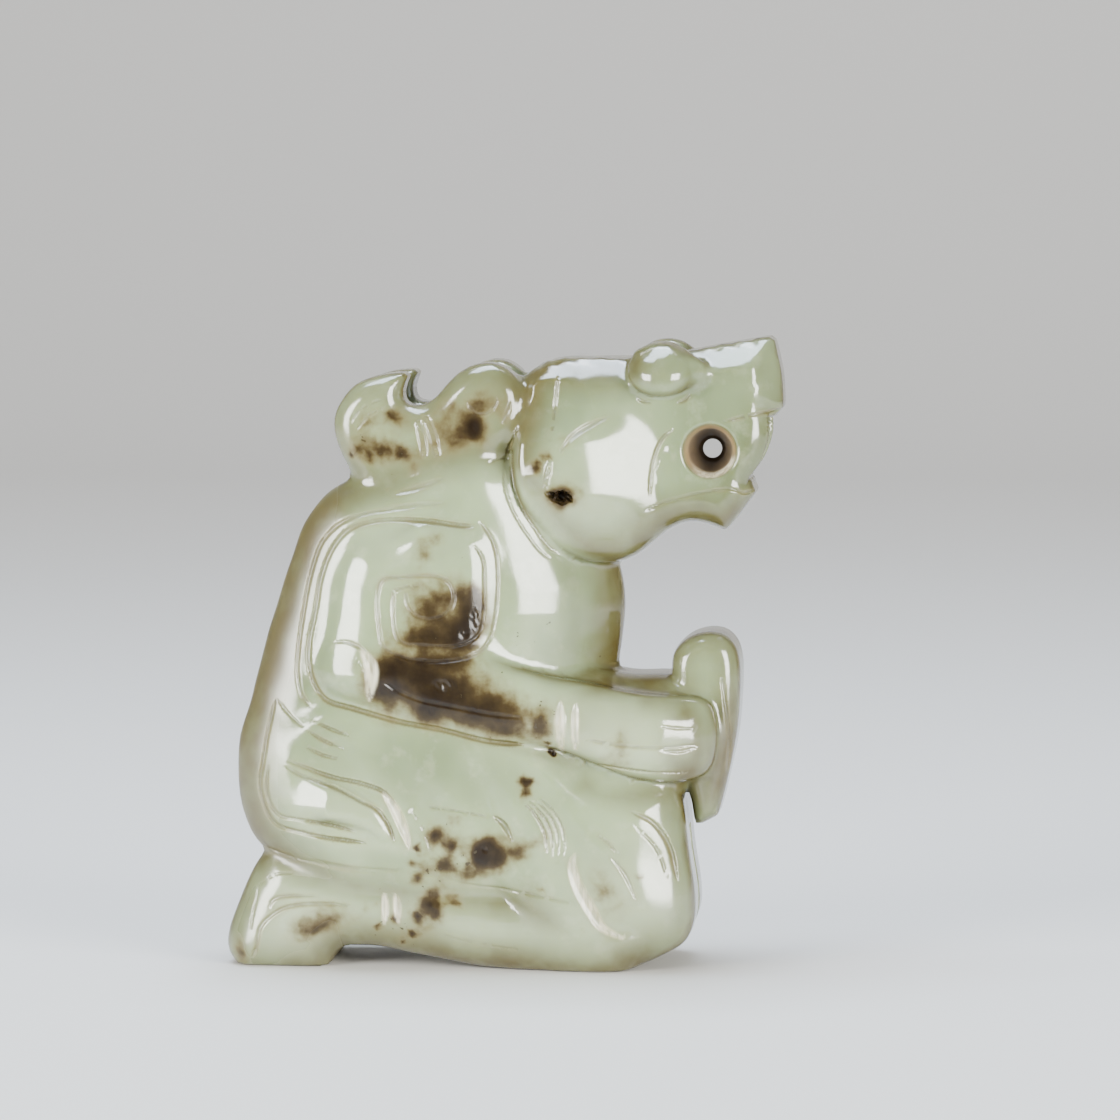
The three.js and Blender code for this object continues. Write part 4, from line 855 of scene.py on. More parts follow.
class Plate:
    """A plate cut to a side outline, from inner to outer across.

    Its rim is an elliptic round: side is how far the round reaches in from the outline, and face how far it
    reaches in from the plate's faces. The fall lowers the face near the rim, and a sharpness under 2 turns
    the round into a bevel. Outer and side are numbers or functions of x and z.
    """

    def __init__(self, outline, outer, side, face, inner=-math.inf, blend=0.5, fall=None, sharpness=None):
        self.map = outline_map(outline)
        self.outer = outer if callable(outer) else lambda x, z: outer
        self.side = side if callable(side) else lambda x, z: side
        self.inner, self.face, self.blend = inner, face, blend
        self.fall, self.sharpness = fall, sharpness

    def __call__(self, x, w, z):
        # u and v rise from 0 where the round begins to 1 on the outline and on the face
        edge = self.map.at(x, z)
        outer = self.outer(x, z) - (self.fall(x, z, -edge) if self.fall else 0)
        side = self.side(x, z)
        u = edge / side + 1
        v = np.maximum(w - outer, self.inner - w) / self.face + 1
        corner = np.hypot(np.maximum(u, 0), np.maximum(v, 0))
        if self.sharpness:
            p = self.sharpness(x, z)
            bevel = (np.maximum(u, 1e-6) ** p + np.maximum(v, 1e-6) ** p) ** (1 / p)
            corner = np.where((u > 0) & (v > 0), bevel, corner)
        return (corner + np.minimum(np.maximum(u, v), 0) - 1) * np.minimum(side, self.face)


class Boss:
    """An ellipsoid boss, as a field close to distance near its surface. It leans in as it rises."""

    def __init__(self, centre, radii, blend, lean=0.0):
        self.centre, self.radii, self.blend, self.lean = centre, radii, blend, lean

    def __call__(self, x, w, z):
        w = w + self.lean * (z - self.centre[2])
        scaled = [(value - c) / r for value, c, r in zip((x, w, z), self.centre, self.radii)]
        return (np.sqrt(scaled[0] ** 2 + scaled[1] ** 2 + scaled[2] ** 2) - 1) * min(self.radii)


def chest_half(x, z):
    """Half the trunk's width, which falls away towards the front of the chest."""
    start = CHEST_START - NECK_LEAN * np.clip(z - NECK_FOOT, 0, NECK_HEIGHT)
    curve = TRUNK_HALF - CHEST_CURVE * np.maximum(0, x - start) ** 2
    waist = WAIST_FALL * np.clip(WAIST_TOP - z, 0, WAIST_HEIGHT) * smoothstep(x, *WAIST_FRONT)
    return smooth_max(curve, CHEST_LEAST, CHEST_BLEND) - waist


def head_half(x, z):
    """Half the head's width: the cheeks stand out from it, and it narrows to the muzzle."""
    narrow = HEAD_HALF + (MUZZLE_HALF - HEAD_HALF) * smoothstep(x, *MUZZLE_SPAN)
    ramp = np.clip((CHEEK_CREASE - x) / (CHEEK_CREASE - CHEEK_PEAK), 0, 1)
    return narrow + CHEEK_RISE * ramp * band(z, CHEEK_FOOT, CHEEK_TOP) + swelling(x, z, *EAR_LOBE)


def hip_half(x, z):
    """Half the hip's width, which is greatest along its ridge."""
    to_back, to_front, upwards = HIP_FALLS
    behind = to_back * np.maximum(0, HIP_RIDGE - x)
    before = to_front * np.maximum(0, x - HIP_RIDGE)
    return HIP_HALF - behind - before - upwards * (z - HIP_FOOT)


def arm_half(x, z):
    """Half the width over the arms, which narrows to the hand and then to the fingertips."""
    shoulder = SHOULDER_FALL * smoothstep(x, *SHOULDER_FRONT) * smoothstep(z, *SHOULDER_FOOT)
    along_fingers = np.exp(-((z - FINGER_HEIGHT) ** 2) / (2 * FINGER_RIDGE_REACH**2))
    ridge = FINGER_RIDGE * smoothstep(x, *FINGER_RIDGE_START) * along_fingers
    tips = FINGER_FALL * smooth_max(x - FINGER_START, 0, FINGER_BEND)
    taper = HAND_TAPER * np.maximum(0, x - HAND_TAPER_START)
    return SHOULDER_HALF - taper - shoulder - tips + swelling(x, z, *ELBOW) + ridge


def arm_fall(x, z, inside):
    """How much lower the upper arm's face is at a depth inside its outline. It falls less at the elbow."""
    above_elbow = ELBOW_SHARE + (1 - ELBOW_SHARE) * smoothstep(z, *ARM_SLOPE_FOOT)
    slope = ARM_SLOPE * band(x, None, ARM_SLOPE_FRONT) * above_elbow
    return slope * smooth_max(ARM_SLOPE_START - np.maximum(inside, 0), 0, ARM_SLOPE_BEND)


def thigh_round(x, z):
    """How far the thigh's round reaches in from its outline, which is most at the seat and the knee."""
    return THIGH_ROUND + SEAT_ROUND * band(x, None, SEAT_SPAN) + KNEE_ROUND * smoothstep(x, *KNEE_SPAN)


def foot_half(x, z):
    """Half the width over the shins, which narrows to the feet."""
    return CALF_HALF + FOOT_TAPER * x


def head_round(x, z):
    """How far the head's round reaches in from its outline: more round the face than at the nape."""
    return NAPE_ROUND + (FACE_ROUND - NAPE_ROUND) * smoothstep(x, *FACE_SPAN)


def top_bevel(x, z):
    """The head's top edge is bevelled, and its other edges are round."""
    return 2 - TOP_BEVEL * smoothstep(z, *TOP_SPAN)


def limb_gap(inward, w, depth):
    """How deep points are in a groove between the limbs, from how far in and off the middle they lie."""
    return GAP_HALF * (1 - np.hypot(np.maximum(0, inward) / depth, w / GAP_HALF))


def from_hole_axis(x, z):
    """How far points lie from the axis of the hole."""
    return np.hypot(x - HOLE_CENTRE[0], z - HOLE_CENTRE[1])


class Carving:
    """The whole carving's field: negative inside, zero on the surface."""

    def __init__(self):
        self.parts = [
            Plate(TRUNK, chest_half, side=6.0, face=4.5),
            Plate(THIGH, THIGH_HALF, side=thigh_round, face=5.2, blend=1.2),
            Plate(HIP, hip_half, side=1.2, face=1.0, inner=0),
            Plate(CALF, foot_half, side=3.8, face=3.8, blend=0.8),
            Plate(HEAD, head_half, side=head_round, face=3.0, blend=0.8, sharpness=top_bevel),
            Plate(SHOULDER, arm_half, side=3.0, face=2.2, inner=2, blend=0.8, fall=arm_fall),
            Plate(WRIST_BLOCK, WRIST_BLOCK_HALF, side=2.5, face=4.0, blend=0.8),
            Plate(TABLET, TABLET_HALF, side=1.8, face=2.4),
            Plate(HORN, HORN_OUTER, side=2.0, face=2.2, inner=HORN_INNER, blend=1.6),
            Boss(EYE_FOLD_CENTRE, EYE_FOLD_RADII, blend=1.2),
            Boss(EYE_CENTRE, EYE_RADII, blend=0.8, lean=EYE_LEAN),
        ]
        self.engraving, self.near_line, self.bare_and_highlit_cut = engraving_maps()

    def __call__(self, x, y, z):
        w = np.abs(y)
        value = self.parts[0](x, w, z)
        for part in self.parts[1:]:
            value = smooth_min(value, part(x, w, z), part.blend)
        head_top = smoothstep(z - HEAD_TOP_LEAN * x, *HEAD_TOP_FOOT)
        head_top = head_top * smoothstep(x, *HEAD_TOP_BACK) * smoothstep(-y, *HEAD_TOP_SIDE)
        value = value + WAVE_HEIGHT * waves(x, y, z, WAVE_LENGTH)
        value = value + RIPPLE_HEIGHT * waves(x, y, z, RIPPLE_LENGTH) * head_top
        knee_gap = limb_gap(KNEE_GAP_START - x, w, KNEE_GAP_DEPTH)
        foot_gap = limb_gap(x - FOOT_GAP_START, w, FOOT_GAP_DEPTH)
        value = np.where(z < KNEE_GAP_TOP, smooth_max(value, knee_gap, EDGE_BLEND), value)
        value = np.where(z < FOOT_GAP_TOP, smooth_max(value, foot_gap, EDGE_BLEND), value)
        value = smooth_max(value, self.mouth(x, w, z), MOUTH_BLEND)
        value = value + self.engraving.at(x, z) * smoothstep(w, *LINE_SPAN)
        value = value + self.pitting(x, y, z)
        hole = self.hole_radius(w) - from_hole_axis(x, z)
        value = smooth_max(value, hole, EDGE_BLEND)
        return smooth_max(value, -z, EDGE_BLEND)

    def mouth(self, x, w, z):
        """How deep a point is inside the recess between the lips."""
        middle, half = (MOUTH_ROOF + MOUTH_FLOOR) / 2, (MOUTH_ROOF - MOUTH_FLOOR) / 2
        box = np.maximum(w - MOUTH_HALF, np.abs(z - middle) - half)
        return np.minimum(x - MOUTH_BACK, -box)

    def hole_radius(self, w):
        """The hole's radius, with a ridge in the middle where the two drillings meet."""
        flare = (HOLE_BORE_RADIUS - HOLE_WAIST_RADIUS) * smoothstep(w, 0, HOLE_BORE_DEPTH)
        lip = (HOLE_RIM_RADIUS - HOLE_BORE_RADIUS) * smoothstep(w, *HOLE_LIP)
        return HOLE_WAIST_RADIUS + flare + lip - HOLE_RIDGE * np.exp(-((w / HOLE_RIDGE_HALF) ** 2))

    def pitting(self, x, y, z):
        """How deep the natural pits cut on the near side."""
        depth = 0
        bumps = waves(x, y, z, PIT_BUMP_LENGTH)
        for px, pz, half_length, half_height, deep, rough in PITS:
            out = np.hypot((x - px) / half_length, (z - pz) / half_height) + PIT_RAGGEDNESS * bumps
            depth = depth + (deep + PIT_BUMP_HEIGHT * rough * bumps) * band(out, None, PIT_EDGE)
        return depth * (y < -PIT_SIDE)

    def silhouette(self, x, z):
        """Signed distance to the outline of the whole side view, negative inside it."""
        return np.min([part.map.at(x, z) for part in self.parts if isinstance(part, Plate)], axis=0)

    def slope(self, points, reach=0.04):
        """The field's gradient at an array of points."""
        steps = np.eye(3) * reach
        rises = [self(*(points + step).T) - self(*(points - step).T) for step in steps]
        return np.stack(rises, axis=1) / (2 * reach)

    def settle(self, points, step, turns=3):
        """Moves points along the field's slope to its zero level, by no more than step each turn."""
        for _ in range(turns):
            slope = self.slope(points)
            size = np.maximum((slope**2).sum(1), 0.05)
            move = -slope * (self(*points.T) / size)[:, None]
            length = np.maximum(np.linalg.norm(move, axis=1), 1e-9)
            points = points + move * np.minimum(1, step / length)[:, None]
        return points

    def needs_detail(self, points):
        """Which points lie close to an engraved line, a pit, the hole or the edge of a recess."""
        x, y, z = points.T
        w = np.abs(y)
        mouth_middle = (MOUTH_ROOF + MOUTH_FLOOR) / 2
        at_mouth = (x > MOUTH_BACK - 0.5) & (np.abs(z - mouth_middle) < 4) & (w < MOUTH_HALF + 0.8)
        at_gap = (x > KNEE_GAP_START - KNEE_GAP_DEPTH) | (x < FOOT_GAP_START + FOOT_GAP_DEPTH)
        at_gap &= (w < GAP_HALF + RECESS_MARGIN) & (z < KNEE_GAP_TOP + 1)
        at_hole = np.abs(from_hole_axis(x, z) - self.hole_radius(w)) < RECESS_MARGIN
        at_pit = np.zeros(len(points), bool)
        for px, pz, half_length, half_height, _, _ in PITS:
            out = np.hypot((x - px) / (half_length + PIT_MARGIN), (z - pz) / (half_height + PIT_MARGIN))
            at_pit |= out < PIT_EDGE[1]
        at_pit &= y < -PIT_SIDE
        at_line = (self.near_line.at(x, z) > LINE_NEARNESS) & (w > LINE_SPAN[0])
        return at_line | at_hole | at_pit | at_mouth | at_gap


def hang_together(bits):
    """Whether the cube corners whose bits are set hang together along the cube's edges."""
    reached = bits & -bits
    for _ in range(4):
        for corner in range(8):
            if reached >> corner & 1:
                reached |= bits & (1 << (corner ^ 1) | 1 << (corner ^ 2) | 1 << (corner ^ 4))
    return reached == bits


PLAIN = np.array([hang_together(bits) and hang_together(255 - bits) for bits in range(256)])
CORNERS = [(c & 1, c >> 1 & 1, c >> 2) for c in range(8)]


def corner_view(values, corner):
    """The grid's values at one corner of every cell."""
    return values[tuple(slice(c, c + n - 1) for c, n in zip(corner, values.shape))]


def cell_codes(values):
    """For each grid cell, which of its corners are inside, as bits."""
    return sum((corner_view(values, corner) < 0).astype(int) << n for n, corner in enumerate(CORNERS))


def untangle(values, just_outside=1e-4):
    """Leaves each grid cell with one plain sheet of surface at most, and gives back the cells' codes.

    In a cell with more than one sheet, the inside corner nearest the surface becomes an outside corner.
    """
    while True:
        codes = cell_codes(values)
        tangled = np.argwhere(~PLAIN[codes])
        if not len(tangled):
            return codes
        for cell in tangled:
            corners = [tuple(cell + corner) for corner in CORNERS]
            inside = [corner for corner in corners if values[corner] < 0]
            if inside:
                values[max(inside, key=lambda corner: values[corner])] = just_outside


def net_points(values, crossed):
    """A point for each crossed cell, in cells: the middle of the places where the surface cuts its edges."""
    cells = np.argwhere(crossed)
    total, count = np.zeros((len(cells), 3)), np.zeros((len(cells), 1))
    for n, corner in enumerate(CORNERS):
        for axis in range(3):
            if corner[axis]:
                continue
            far = CORNERS[n + (1 << axis)]
            a, b = corner_view(values, corner)[crossed], corner_view(values, far)[crossed]
            hit = (a < 0) != (b < 0)
            share = np.where(hit, a / np.where(hit, a - b, 1), 0)
            place = np.array(corner) + share[:, None] * np.eye(3)[axis]
            total += np.where(hit[:, None], place, 0)
            count += hit[:, None]
    return cells + total / count


def net_quads(values, number):
    """One quad for each grid edge that the surface cuts, through the numbers of the four cells round it."""
    quads = []
    for axis in range(3):
        lower = values[tuple(slice(1, -1) for _ in range(3))]
        upper = values[tuple(slice(2, None) if a == axis else slice(1, -1) for a in range(3))]
        hits = np.argwhere((lower < 0) != (upper < 0)) + 1
        across, up = np.eye(3, dtype=int)[(axis + 1) % 3], np.eye(3, dtype=int)[(axis + 2) % 3]
        ring = [hits, hits - across, hits - across - up, hits - up]
        quad = np.stack([number[tuple(cell.T)] for cell in ring], axis=1)
        outward = values[tuple(hits.T)] < 0
        quads.append(np.where(outward[:, None], quad, quad[:, ::-1]))
    return np.vstack(quads)


def surface_net(field, step):
    """A closed triangle mesh of the field's zero level: one vertex for each grid cell that it crosses."""
    axes = [np.arange(LOW[a], HIGH[a], step) for a in range(3)]
    values = field(axes[0][:, None, None], axes[1][None, :, None], axes[2][None, None, :])
    codes = untangle(values)
    crossed = (codes > 0) & (codes < 255)
    number = np.full(codes.shape, -1)
    number[crossed] = np.arange(crossed.sum())
    points = LOW + step * net_points(values, crossed)
    return field.settle(points, step / 2), halve_quads(points, net_quads(values, number))


def halve_quads(points, quads):
    """Two triangles for each quad, cut along its shorter diagonal."""
    corner = points[quads]
    diagonals = [np.linalg.norm(corner[:, n] - corner[:, n + 2], axis=1) for n in (0, 1)]
    first = diagonals[0] <= diagonals[1]
    turned = np.where(first[:, None], quads, np.roll(quads, -1, axis=1))
    return np.vstack([turned[:, [0, 1, 2]], turned[:, [0, 2, 3]]])


def refine(field, points, triangles, longest):
    """Splits each edge near fine carving that is over the longest length, and settles the new points.

    A triangle with one, two or three split edges becomes two, three or four triangles.
    """
    sides = [triangles[:, [n, (n + 1) % 3]] for n in range(3)]
    edges, back = np.unique(np.sort(np.concatenate(sides), axis=1), axis=0, return_inverse=True)
    back = back.reshape(3, -1).T
    ends = points[edges]
    fine = field.needs_detail(points)
    split = fine[edges].any(1) & (np.linalg.norm(ends[:, 0] - ends[:, 1], axis=1) > longest)
    middle = np.full(len(edges), -1)
    middle[split] = len(points) + np.arange(split.sum())
    added = field.settle(ends[split].mean(1), longest / 2)
    m = middle[back]
    made = [triangles[(m < 0).all(1)]]
    cuts = (m >= 0).sum(1)
    for turn in range(3):
        t, e = np.roll(triangles, -turn, axis=1), np.roll(m, -turn, axis=1)
        one = (cuts == 1) & (e[:, 0] >= 0)
        two = (cuts == 2) & (e[:, 2] < 0)
        (a, b, c), p = t[one].T, e[one, 0]
        made += [np.stack(corners, axis=1) for corners in ((a, p, c), (p, b, c))]
        (a, b, c), p, q = t[two].T, e[two, 0], e[two, 1]
        made += [np.stack(corners, axis=1) for corners in ((p, b, q), (a, p, q), (a, q, c))]
    three = cuts == 3
    (a, b, c), (p, q, r) = triangles[three].T, m[three].T
    made += [np.stack(corners, axis=1) for corners in ((a, p, r), (p, b, q), (r, q, c), (p, q, r))]
    return np.vstack([points, added]), np.vstack(made)


def carve(step):
    """The carving's points in millimetres, its triangles, its normals and the field that they come from."""
    field = Carving()
    points, triangles = surface_net(field, step)
    for longest in DETAIL_EDGES:
        points, triangles = refine(field, points, triangles, longest)
    slope = field.slope(points)
    normals = slope / np.maximum(np.linalg.norm(slope, axis=1, keepdims=True), 1e-9)
    return points, triangles, normals, field


def to_frame(points):
    """Points in metres, scaled to the CAD node's height and centred on its box."""
    low, high = (np.array(corner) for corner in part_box(NODE))
    scale = (high[2] - low[2]) / np.ptp(points[:, 2])
    centre = (points.max(0) + points.min(0)) / 2
    return (points - centre) * scale + (low + high) / 2


def blots(blobs, x, z):
    """How strong a set of soft oval blots is at each point."""
    total = np.zeros(x.shape)
    for bx, bz, half_length, half_height, turn, strength in blobs:
        cos, sin = math.cos(math.radians(turn)), math.sin(math.radians(turn))
        along = ((x - bx) * cos + (z - bz) * sin) / half_length
        across = ((z - bz) * cos - (x - bx) * sin) / half_height
        total = total + strength * np.exp(-0.9 * (along**2 + across**2) ** 1.15)
    return np.minimum(total, 1.4)


def surface_marks(field, points, normals):
    """The named marks that the material reads, with one value for each point."""
    x, y, z = points.T
    near_side = band(y, None, SIDE_CHANGE)
    spots = [(px, pz, radius, radius, 0, strength) for px, pz, radius, strength in SPOTS]
    stain = blots(NEAR_STAINS + spots, x, z) * near_side + blots(FAR_STAINS, x, z) * (1 - near_side)
    lined = smoothstep(np.abs(y), *LINE_SPAN)
    # Rims near the side view's outline darken, partly patina and partly painted shade, less in the paler
    # boxes
    clean = sum(share * soft_box(x, z, *box) for share, box in PALER_RIMS)
    rim = smoothstep(field.silhouette(x, z) + soft_box(x, z, *BACK_WEAR_AND_SHADE), *RIM_WEAR_AND_SHADE)
    rim = rim * (1 - 0.6 * clean) * (1 - 0.3 * soft_box(x, z, *HORN_BOX))
    from_axis = from_hole_axis(x, z)
    ledge_box = soft_box(x - HOLE_CENTRE[0], z - HOLE_CENTRE[1], *LEDGE_BOX)
    ledge = band(from_axis, *LEDGE_RING) * ledge_box * near_side
    bore = band(from_axis, None, (HOLE_RIM_RADIUS - 0.5, HOLE_RIM_RADIUS))
    return {
        "groove": field.near_line.at(x, z) * lined,
        # Pale cuts with a painted highlight, and the pale broken ledge in the hole
        "bare_and_highlit": np.maximum(field.bare_and_highlit_cut.at(x, z) * lined, ledge),
        "stain": stain,
        "speck": blots(SPECKS, x, z) * (0.4 + 0.6 * near_side),
        # Painted shade on the faces that turn away from the side
        "skin": smoothstep(1 - np.abs(normals[:, 1]), *SHADE_TILT),
        # Clouds, whose deep ones paint shade on the muzzle, jaw and neck and milky ones light on the hand
        "deep": blots(DEEP_CLOUDS_AND_SHADE, x, z),
        "milky_and_lit": blots(MILKY_CLOUDS_AND_LIGHT, x, z),
        "rim": rim,
        "satin": np.maximum(rim * soft_box(x, z, *MATT_BACK), soft_box(x, z, *MATT_SEAT)),
        "bore": bore,
        # Painted shade deep inside the hole
        "hole_shade": bore * band(np.abs(y), None, HOLE_SHADE_SPAN),
    }


class Shade:
    """A shader socket that maths can be written with: an expression on values adds its Math nodes."""

    def __init__(self, tree, socket):
        self.tree, self.socket = tree, socket

    def _math(self, operation, *values):
        return add_node(self.tree, "ShaderNodeMath", {"operation": operation}, dict(enumerate(values)))

    def __add__(self, other):
        return self._math("ADD", self, other)

    def __sub__(self, other):
        return self._math("SUBTRACT", self, other)

    def __rsub__(self, other):
        return self._math("SUBTRACT", other, self)

    def __mul__(self, other):
        return self._math("MULTIPLY", self, other)

    __radd__ = __add__
    __rmul__ = __mul__

    def at_least(self, other):
        """The larger of the two."""
        return self._math("MAXIMUM", self, other)

    def between(self, low, high):
        """0 at low, 1 at high, and a smooth rise between."""
        settings = {"interpolation_type": "SMOOTHSTEP"}
        inputs = {"Value": self, "From Min": low, "From Max": high}
        return add_node(self.tree, "ShaderNodeMapRange", settings, inputs)


def add_node(tree, kind, settings=None, inputs=None, output=0):
    """Adds a node, makes its settings and then its sockets' values or links, and gives back one output."""
    node = tree.nodes.new(kind)
    for name, value in (settings or {}).items():
        if name == "stops":
            ramp = node.color_ramp
            for n, (place, colour) in enumerate(value):
                stop = ramp.elements[n] if n < 2 else ramp.elements.new(place)
                stop.position, stop.color = place, colour
        else:
            setattr(node, name, value)
    for name, value in (inputs or {}).items():
        if isinstance(value, Shade):
            tree.links.new(value.socket, node.inputs[name])
        else:
            node.inputs[name].default_value = value
    return Shade(tree, node.outputs[output])


def mix_colours(tree, factor, first, second):
    """The first colour where the factor is 0 and the second where it is 1."""
    inputs = {"Factor": factor, 6: first, 7: second}
    return add_node(tree, "ShaderNodeMix", {"data_type": "RGBA"}, inputs, output=2)


def jade_material(finish):
    """Polished celadon jade: clouded, browner on rims and in cut lines, with brown inclusions.

    The rims' brown is partly patina and partly painted shade.
    """
    material = bpy.data.materials.new("polished_jade")
    material.use_nodes = True
    tree = material.node_tree
    tree.nodes.remove(tree.nodes["Principled BSDF"])
    place = add_node(tree, "ShaderNodeTexCoord", output=3)

    def noise(scale, detail, roughness=0.55, distortion=0.0, vector=place):
        inputs = {"Vector": vector, "Scale": scale, "Detail": detail}
        inputs.update({"Roughness": roughness, "Distortion": distortion})
        return add_node(tree, "ShaderNodeTexNoise", {}, inputs)

    def mark(name):
        return add_node(tree, "ShaderNodeAttribute", {"attribute_name": name}, output=2)

    cloud = noise(85.0, 3.0)
    floc = noise(420.0, 4.0, 0.6)
    mottle = noise(380.0, 2.5, 0.5, 0.2)
    grain = noise(1500.0, 2.0)
    stain, speck, groove, bare_and_highlit = (mark(name) for name in ("stain", "speck", "groove", "bare_and_highlit"))
    deep, milky_and_lit, skin, rim = (mark(name) for name in ("deep", "milky_and_lit", "skin", "rim"))
    satin, bore, hole_shade = (mark(name) for name in ("satin", "bore", "hole_shade"))

    # The stone and its clouds, whose deep and milky marks also paint shade and light
    depth = cloud.between(0.36, 0.66) * 0.45 + deep * 0.8
    colour = mix_colours(tree, depth, tuple(finish.pale), tuple(finish.deep))
    colour = mix_colours(tree, milky_and_lit * 0.45, colour, tuple(finish.cloud))
    colour = mix_colours(tree, floc.between(0.52, 0.72) * 0.25, colour, tuple(finish.cloud))

    # Brown on rims and on faces that turn away, partly patina and partly painted shade; grime in the lines;
    # the walls of the hole and painted shade deep inside it
    worn_and_shaded = skin.at_least(rim * (cloud.between(0.3, 0.7) * 0.2 + 0.85))
    worn_and_shaded = worn_and_shaded * (mottle.between(0.3, 0.65) * 0.16 + 0.84)
    colour = mix_colours(tree, worn_and_shaded, colour, tuple(finish.patina_and_shade_tint))
    grime = groove * (floc.between(0.35, 0.65) * 0.4 + 0.2)
    colour = mix_colours(tree, grime, colour, tuple(finish.groove_tint))
    walls = bore * (mottle.between(0.3, 0.6) * 0.4 + 0.5)
    colour = mix_colours(tree, walls, colour, tuple(finish.bore_tint))
    # Painted shade deep inside the hole
    colour = mix_colours(tree, hole_shade * 0.8, colour, HOLE_SHADE_BROWN)

    # Inclusions, with ragged edges, and specks
    gate = stain.between(0.02, 0.3)
    level = stain + (mottle - 0.5) * gate * 1.35 + (grain - 0.5) * gate * 0.3
    strength = {"Fac": level.between(0.1, 1.5)}
    brown = add_node(tree, "ShaderNodeValToRGB", {"stops": INCLUSION_BROWNS}, strength)
    cover = level.between(0.0, 0.8)
    colour = mix_colours(tree, cover, colour, brown)
    dots = (grain + speck * 0.24).between(0.8, 0.84)
    colour = mix_colours(tree, dots * 0.85, colour, SPECK_BROWN)

    # Pale cuts, streaked up and down: partly bare stone and partly painted highlight
    stretch = {0: place, 1: (1.0, 1.0, 0.12)}
    drawn_out = add_node(tree, "ShaderNodeVectorMath", {"operation": "MULTIPLY"}, stretch)
    streak = noise(2400.0, 2.0, vector=drawn_out).between(0.35, 0.6)
    colour = mix_colours(tree, bare_and_highlit * (streak * 0.6 + 0.3), colour, tuple(finish.bare_and_highlit_tint))

    # Polish, which is duller over the inclusions
    rough = cover * 0.06 + bare_and_highlit * 0.12 + groove * 0.06 + satin * 0.26 + bore * 0.45 + finish.roughness
    grit = {"Height": noise(2600.0, 3.0), "Strength": 0.35, "Distance": 0.00002}
    shared = {
        "Base Color": colour, "Roughness": rough, "Normal": add_node(tree, "ShaderNodeBump", {}, grit),
        "IOR": 1.61, "Subsurface Weight": 1.0, "Subsurface Radius": (1.0, 0.95, 0.6),
    }
    stone, stained = (
        add_node(
            tree, "ShaderNodeBsdfPrincipled", {},
            {**shared, "Specular IOR Level": gloss, "Subsurface Scale": finish.depth * share},
        )
        for gloss, share in ((0.66, 1.0), (0.26, 0.6))
    )
    surface = add_node(tree, "ShaderNodeMixShader", {}, {0: cover, 1: stone, 2: stained})
    tree.links.new(surface.socket, tree.nodes["Material Output"].inputs["Surface"])
    return material


def link(obj):
    """Puts an object into the scene and gives it back."""
    bpy.context.scene.collection.objects.link(obj)
    return obj


def colour_property(name, description, default):
    """A colour with alpha, as a property."""
    return bpy.props.FloatVectorProperty(
        name=name, description=description, subtype="COLOR", size=4, min=0, max=1, default=default
    )


class JadeFinish(bpy.types.PropertyGroup):
    """Colours and polish of the stone."""

    pale: colour_property("Pale jade", "The stone's palest colour", (0.30, 0.37, 0.215, 1))
    deep: colour_property("Deep jade", "The stone's deeper clouds", (0.155, 0.197, 0.10, 1))
    cloud: colour_property("White cloud", "Small whitish clouds in the stone", (0.42, 0.455, 0.33, 1))
    # The brown of patina and painted shade on rims, and of painted shade on faces that turn away
    patina_and_shade_tint: colour_property("Worn skin", "Colour of the stone's worn rims", (0.085, 0.068, 0.02, 1))
    groove_tint: colour_property("Groove tint", "Colour of the grime in cut lines", (0.19, 0.16, 0.07, 1))
    # Pale colour of the widest cuts: bare stone and painted highlight
    bare_and_highlit_tint: colour_property("Cut tint", "Colour of the widest, clean cuts", (0.60, 0.57, 0.42, 1))
    bore_tint: colour_property("Bore tint", "Colour of the hanging hole's walls", (0.30, 0.20, 0.09, 1))
    roughness: bpy.props.FloatProperty(
        name="Roughness", description="Roughness of the polished skin", subtype="FACTOR",
        min=0, max=1, default=0.13,
    )
    depth: bpy.props.FloatProperty(
        name="Depth of light", description="How far light travels inside the stone",
        subtype="DISTANCE", unit="LENGTH", default=0.0007,
    )
    mesh_step: bpy.props.FloatProperty(
        name="Mesh step", description="Spacing of the mesh away from fine carving",
        subtype="DISTANCE", unit="LENGTH", default=0.0006,
    )


class StageSetting(bpy.types.PropertyGroup):
    """The studio round the carving."""

    floor_colour: colour_property("Floor", "Colour of the floor and the wall behind", (0.70, 0.69, 0.67, 1))
    lens: bpy.props.FloatProperty(
        name="Lens", description="Focal length of the camera in millimetres", default=174.5
    )
    distance: bpy.props.FloatProperty(
        name="Distance", description="From the camera to the carving",
        subtype="DISTANCE", unit="LENGTH", default=0.55,
    )


class JADE_OT_carve_figure(bpy.types.Operator):
    """Carve the kneeling figure"""

    bl_idname = "jade.carve_figure"
    bl_label = "Carve figure"

    def execute(self, context):
        finish = context.scene.jade_finish
        points, triangles, normals, field = carve(finish.mesh_step / MM)
        mesh = bpy.data.meshes.new("kneeling_figure")
        mesh.from_pydata(to_frame(points).tolist(), [], triangles.tolist())
        mesh.normals_split_custom_set_from_vertices(normals.tolist())
        for name, values in surface_marks(field, points, normals).items():
            layer = mesh.attributes.new(name, "FLOAT", "POINT")
            layer.data.foreach_set("value", values.astype(np.float32))
        mesh.materials.append(jade_material(finish))
        figure = link(bpy.data.objects.new("kneeling_figure", mesh))
        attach(figure, "root")
        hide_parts(NODE)
        return {"FINISHED"}


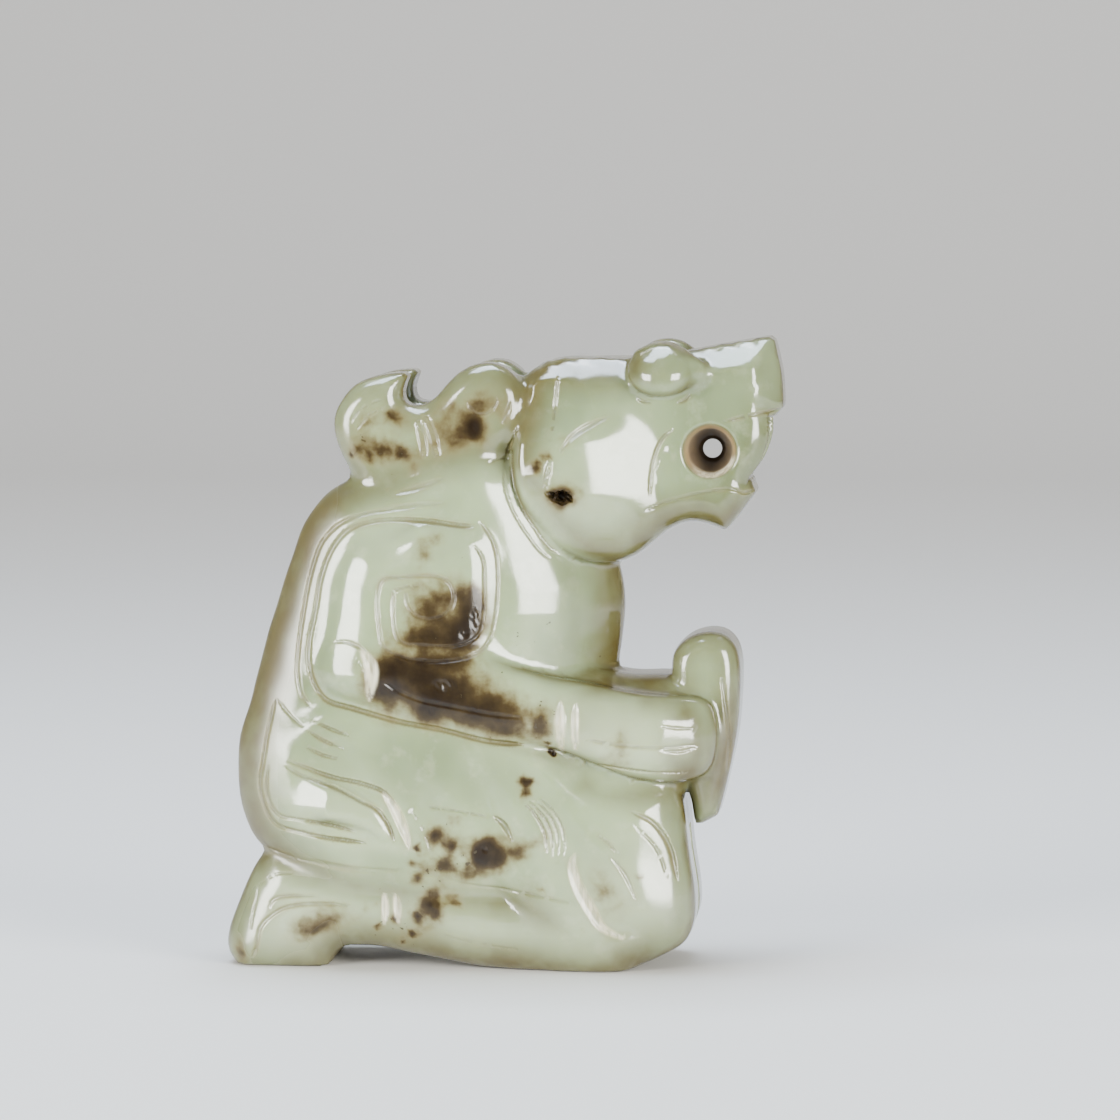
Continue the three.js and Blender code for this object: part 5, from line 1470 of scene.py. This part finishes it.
class JADE_OT_set_stage(bpy.types.Operator):
    """Set the floor, the lights and the camera"""

    bl_idname = "jade.set_stage"
    bl_label = "Set stage"

    def execute(self, context):
        setting = context.scene.jade_stage
        self.add_floor(setting)
        for lamp in LAMPS:
            self.add_light(lamp)
        world = context.scene.world or bpy.data.worlds.new("room")
        context.scene.world = world
        world.use_nodes = True
        background = world.node_tree.nodes["Background"]
        background.inputs["Color"].default_value = ROOM_COLOUR
        background.inputs["Strength"].default_value = ROOM_STRENGTH
        self.add_camera(context, setting)
        return {"FINISHED"}

    def add_light(self, lamp):
        """Adds one rectangular light, turned to the point that it faces."""
        light = bpy.data.lights.new(lamp.name, "AREA")
        light.shape, light.energy, light.color = "RECTANGLE", lamp.power, lamp.colour
        light.size, light.size_y = lamp.size
        obj = link(bpy.data.objects.new(lamp.name, light))
        obj.location = lamp.place
        obj.rotation_euler = (Vector(lamp.aim) - obj.location).to_track_quat("-Z", "Y").to_euler()

    def add_floor(self, setting):
        """Adds a floor that turns up into the wall behind in one bend."""
        half, front, bend, wall, top = 0.9, 0.14, 0.5, 0.9, 2.0
        turn = [(bend * math.sin(a), bend * (1 - math.cos(a))) for a in np.linspace(0, math.pi / 2, 17)]
        profile = [(-front, 0.0)] + [(wall + y, z) for y, z in turn] + [(wall + bend, top)]
        vertices = [(side * half, y, z) for y, z in profile for side in (-1, 1)]
        faces = [(2 * n, 2 * n + 1, 2 * n + 3, 2 * n + 2) for n in range(len(profile) - 1)]
        mesh = bpy.data.meshes.new("floor")
        mesh.from_pydata(vertices, [], faces)
        mesh.polygons.foreach_set("use_smooth", [True] * len(faces))
        material = bpy.data.materials.new("pale_floor")
        material.use_nodes = True
        shader = material.node_tree.nodes["Principled BSDF"]
        shader.inputs["Base Color"].default_value = tuple(setting.floor_colour)
        shader.inputs["Roughness"].default_value = 0.6
        mesh.materials.append(material)
        link(bpy.data.objects.new("floor", mesh))

    def add_camera(self, context, setting):
        """Adds the camera, in front of the figure's right side."""
        azimuth, elevation = math.radians(CAMERA_AZIMUTH), math.radians(CAMERA_ELEVATION)
        level = math.cos(elevation)
        away = Vector((math.sin(azimuth) * level, -math.cos(azimuth) * level, math.sin(elevation)))
        data = bpy.data.cameras.new("camera")
        data.sensor_width, data.lens = 36, setting.lens
        data.clip_start, data.clip_end = 0.01, 20
        camera = link(bpy.data.objects.new("camera", data))
        camera.location = Vector(CAMERA_AIM) + away * setting.distance
        camera.rotation_euler = (-away).to_track_quat("-Z", "Y").to_euler()
        context.scene.camera = camera


class JADE_PT_panel(bpy.types.Panel):
    """The carving's settings and steps"""

    bl_idname = "JADE_PT_panel"
    bl_label = "Jade figure"
    bl_space_type = "VIEW_3D"
    bl_region_type = "UI"
    bl_category = "Jade"

    def draw(self, context):
        for group, operator in (("jade_finish", "jade.carve_figure"), ("jade_stage", "jade.set_stage")):
            settings = getattr(context.scene, group)
            for name in settings.__annotations__:
                self.layout.prop(settings, name)
            self.layout.operator(operator)


CLASSES = (JadeFinish, StageSetting, JADE_OT_carve_figure, JADE_OT_set_stage, JADE_PT_panel)


def register():
    for cls in CLASSES:
        bpy.utils.register_class(cls)
    bpy.types.Scene.jade_finish = bpy.props.PointerProperty(type=JadeFinish)
    bpy.types.Scene.jade_stage = bpy.props.PointerProperty(type=StageSetting)


def unregister():
    del bpy.types.Scene.jade_stage
    del bpy.types.Scene.jade_finish
    for cls in reversed(CLASSES):
        bpy.utils.unregister_class(cls)


def main():
    """Builds the carving and its studio."""
    register()
    bpy.ops.jade.carve_figure()
    bpy.ops.jade.set_stage()


if __name__ == "__main__":
    main()
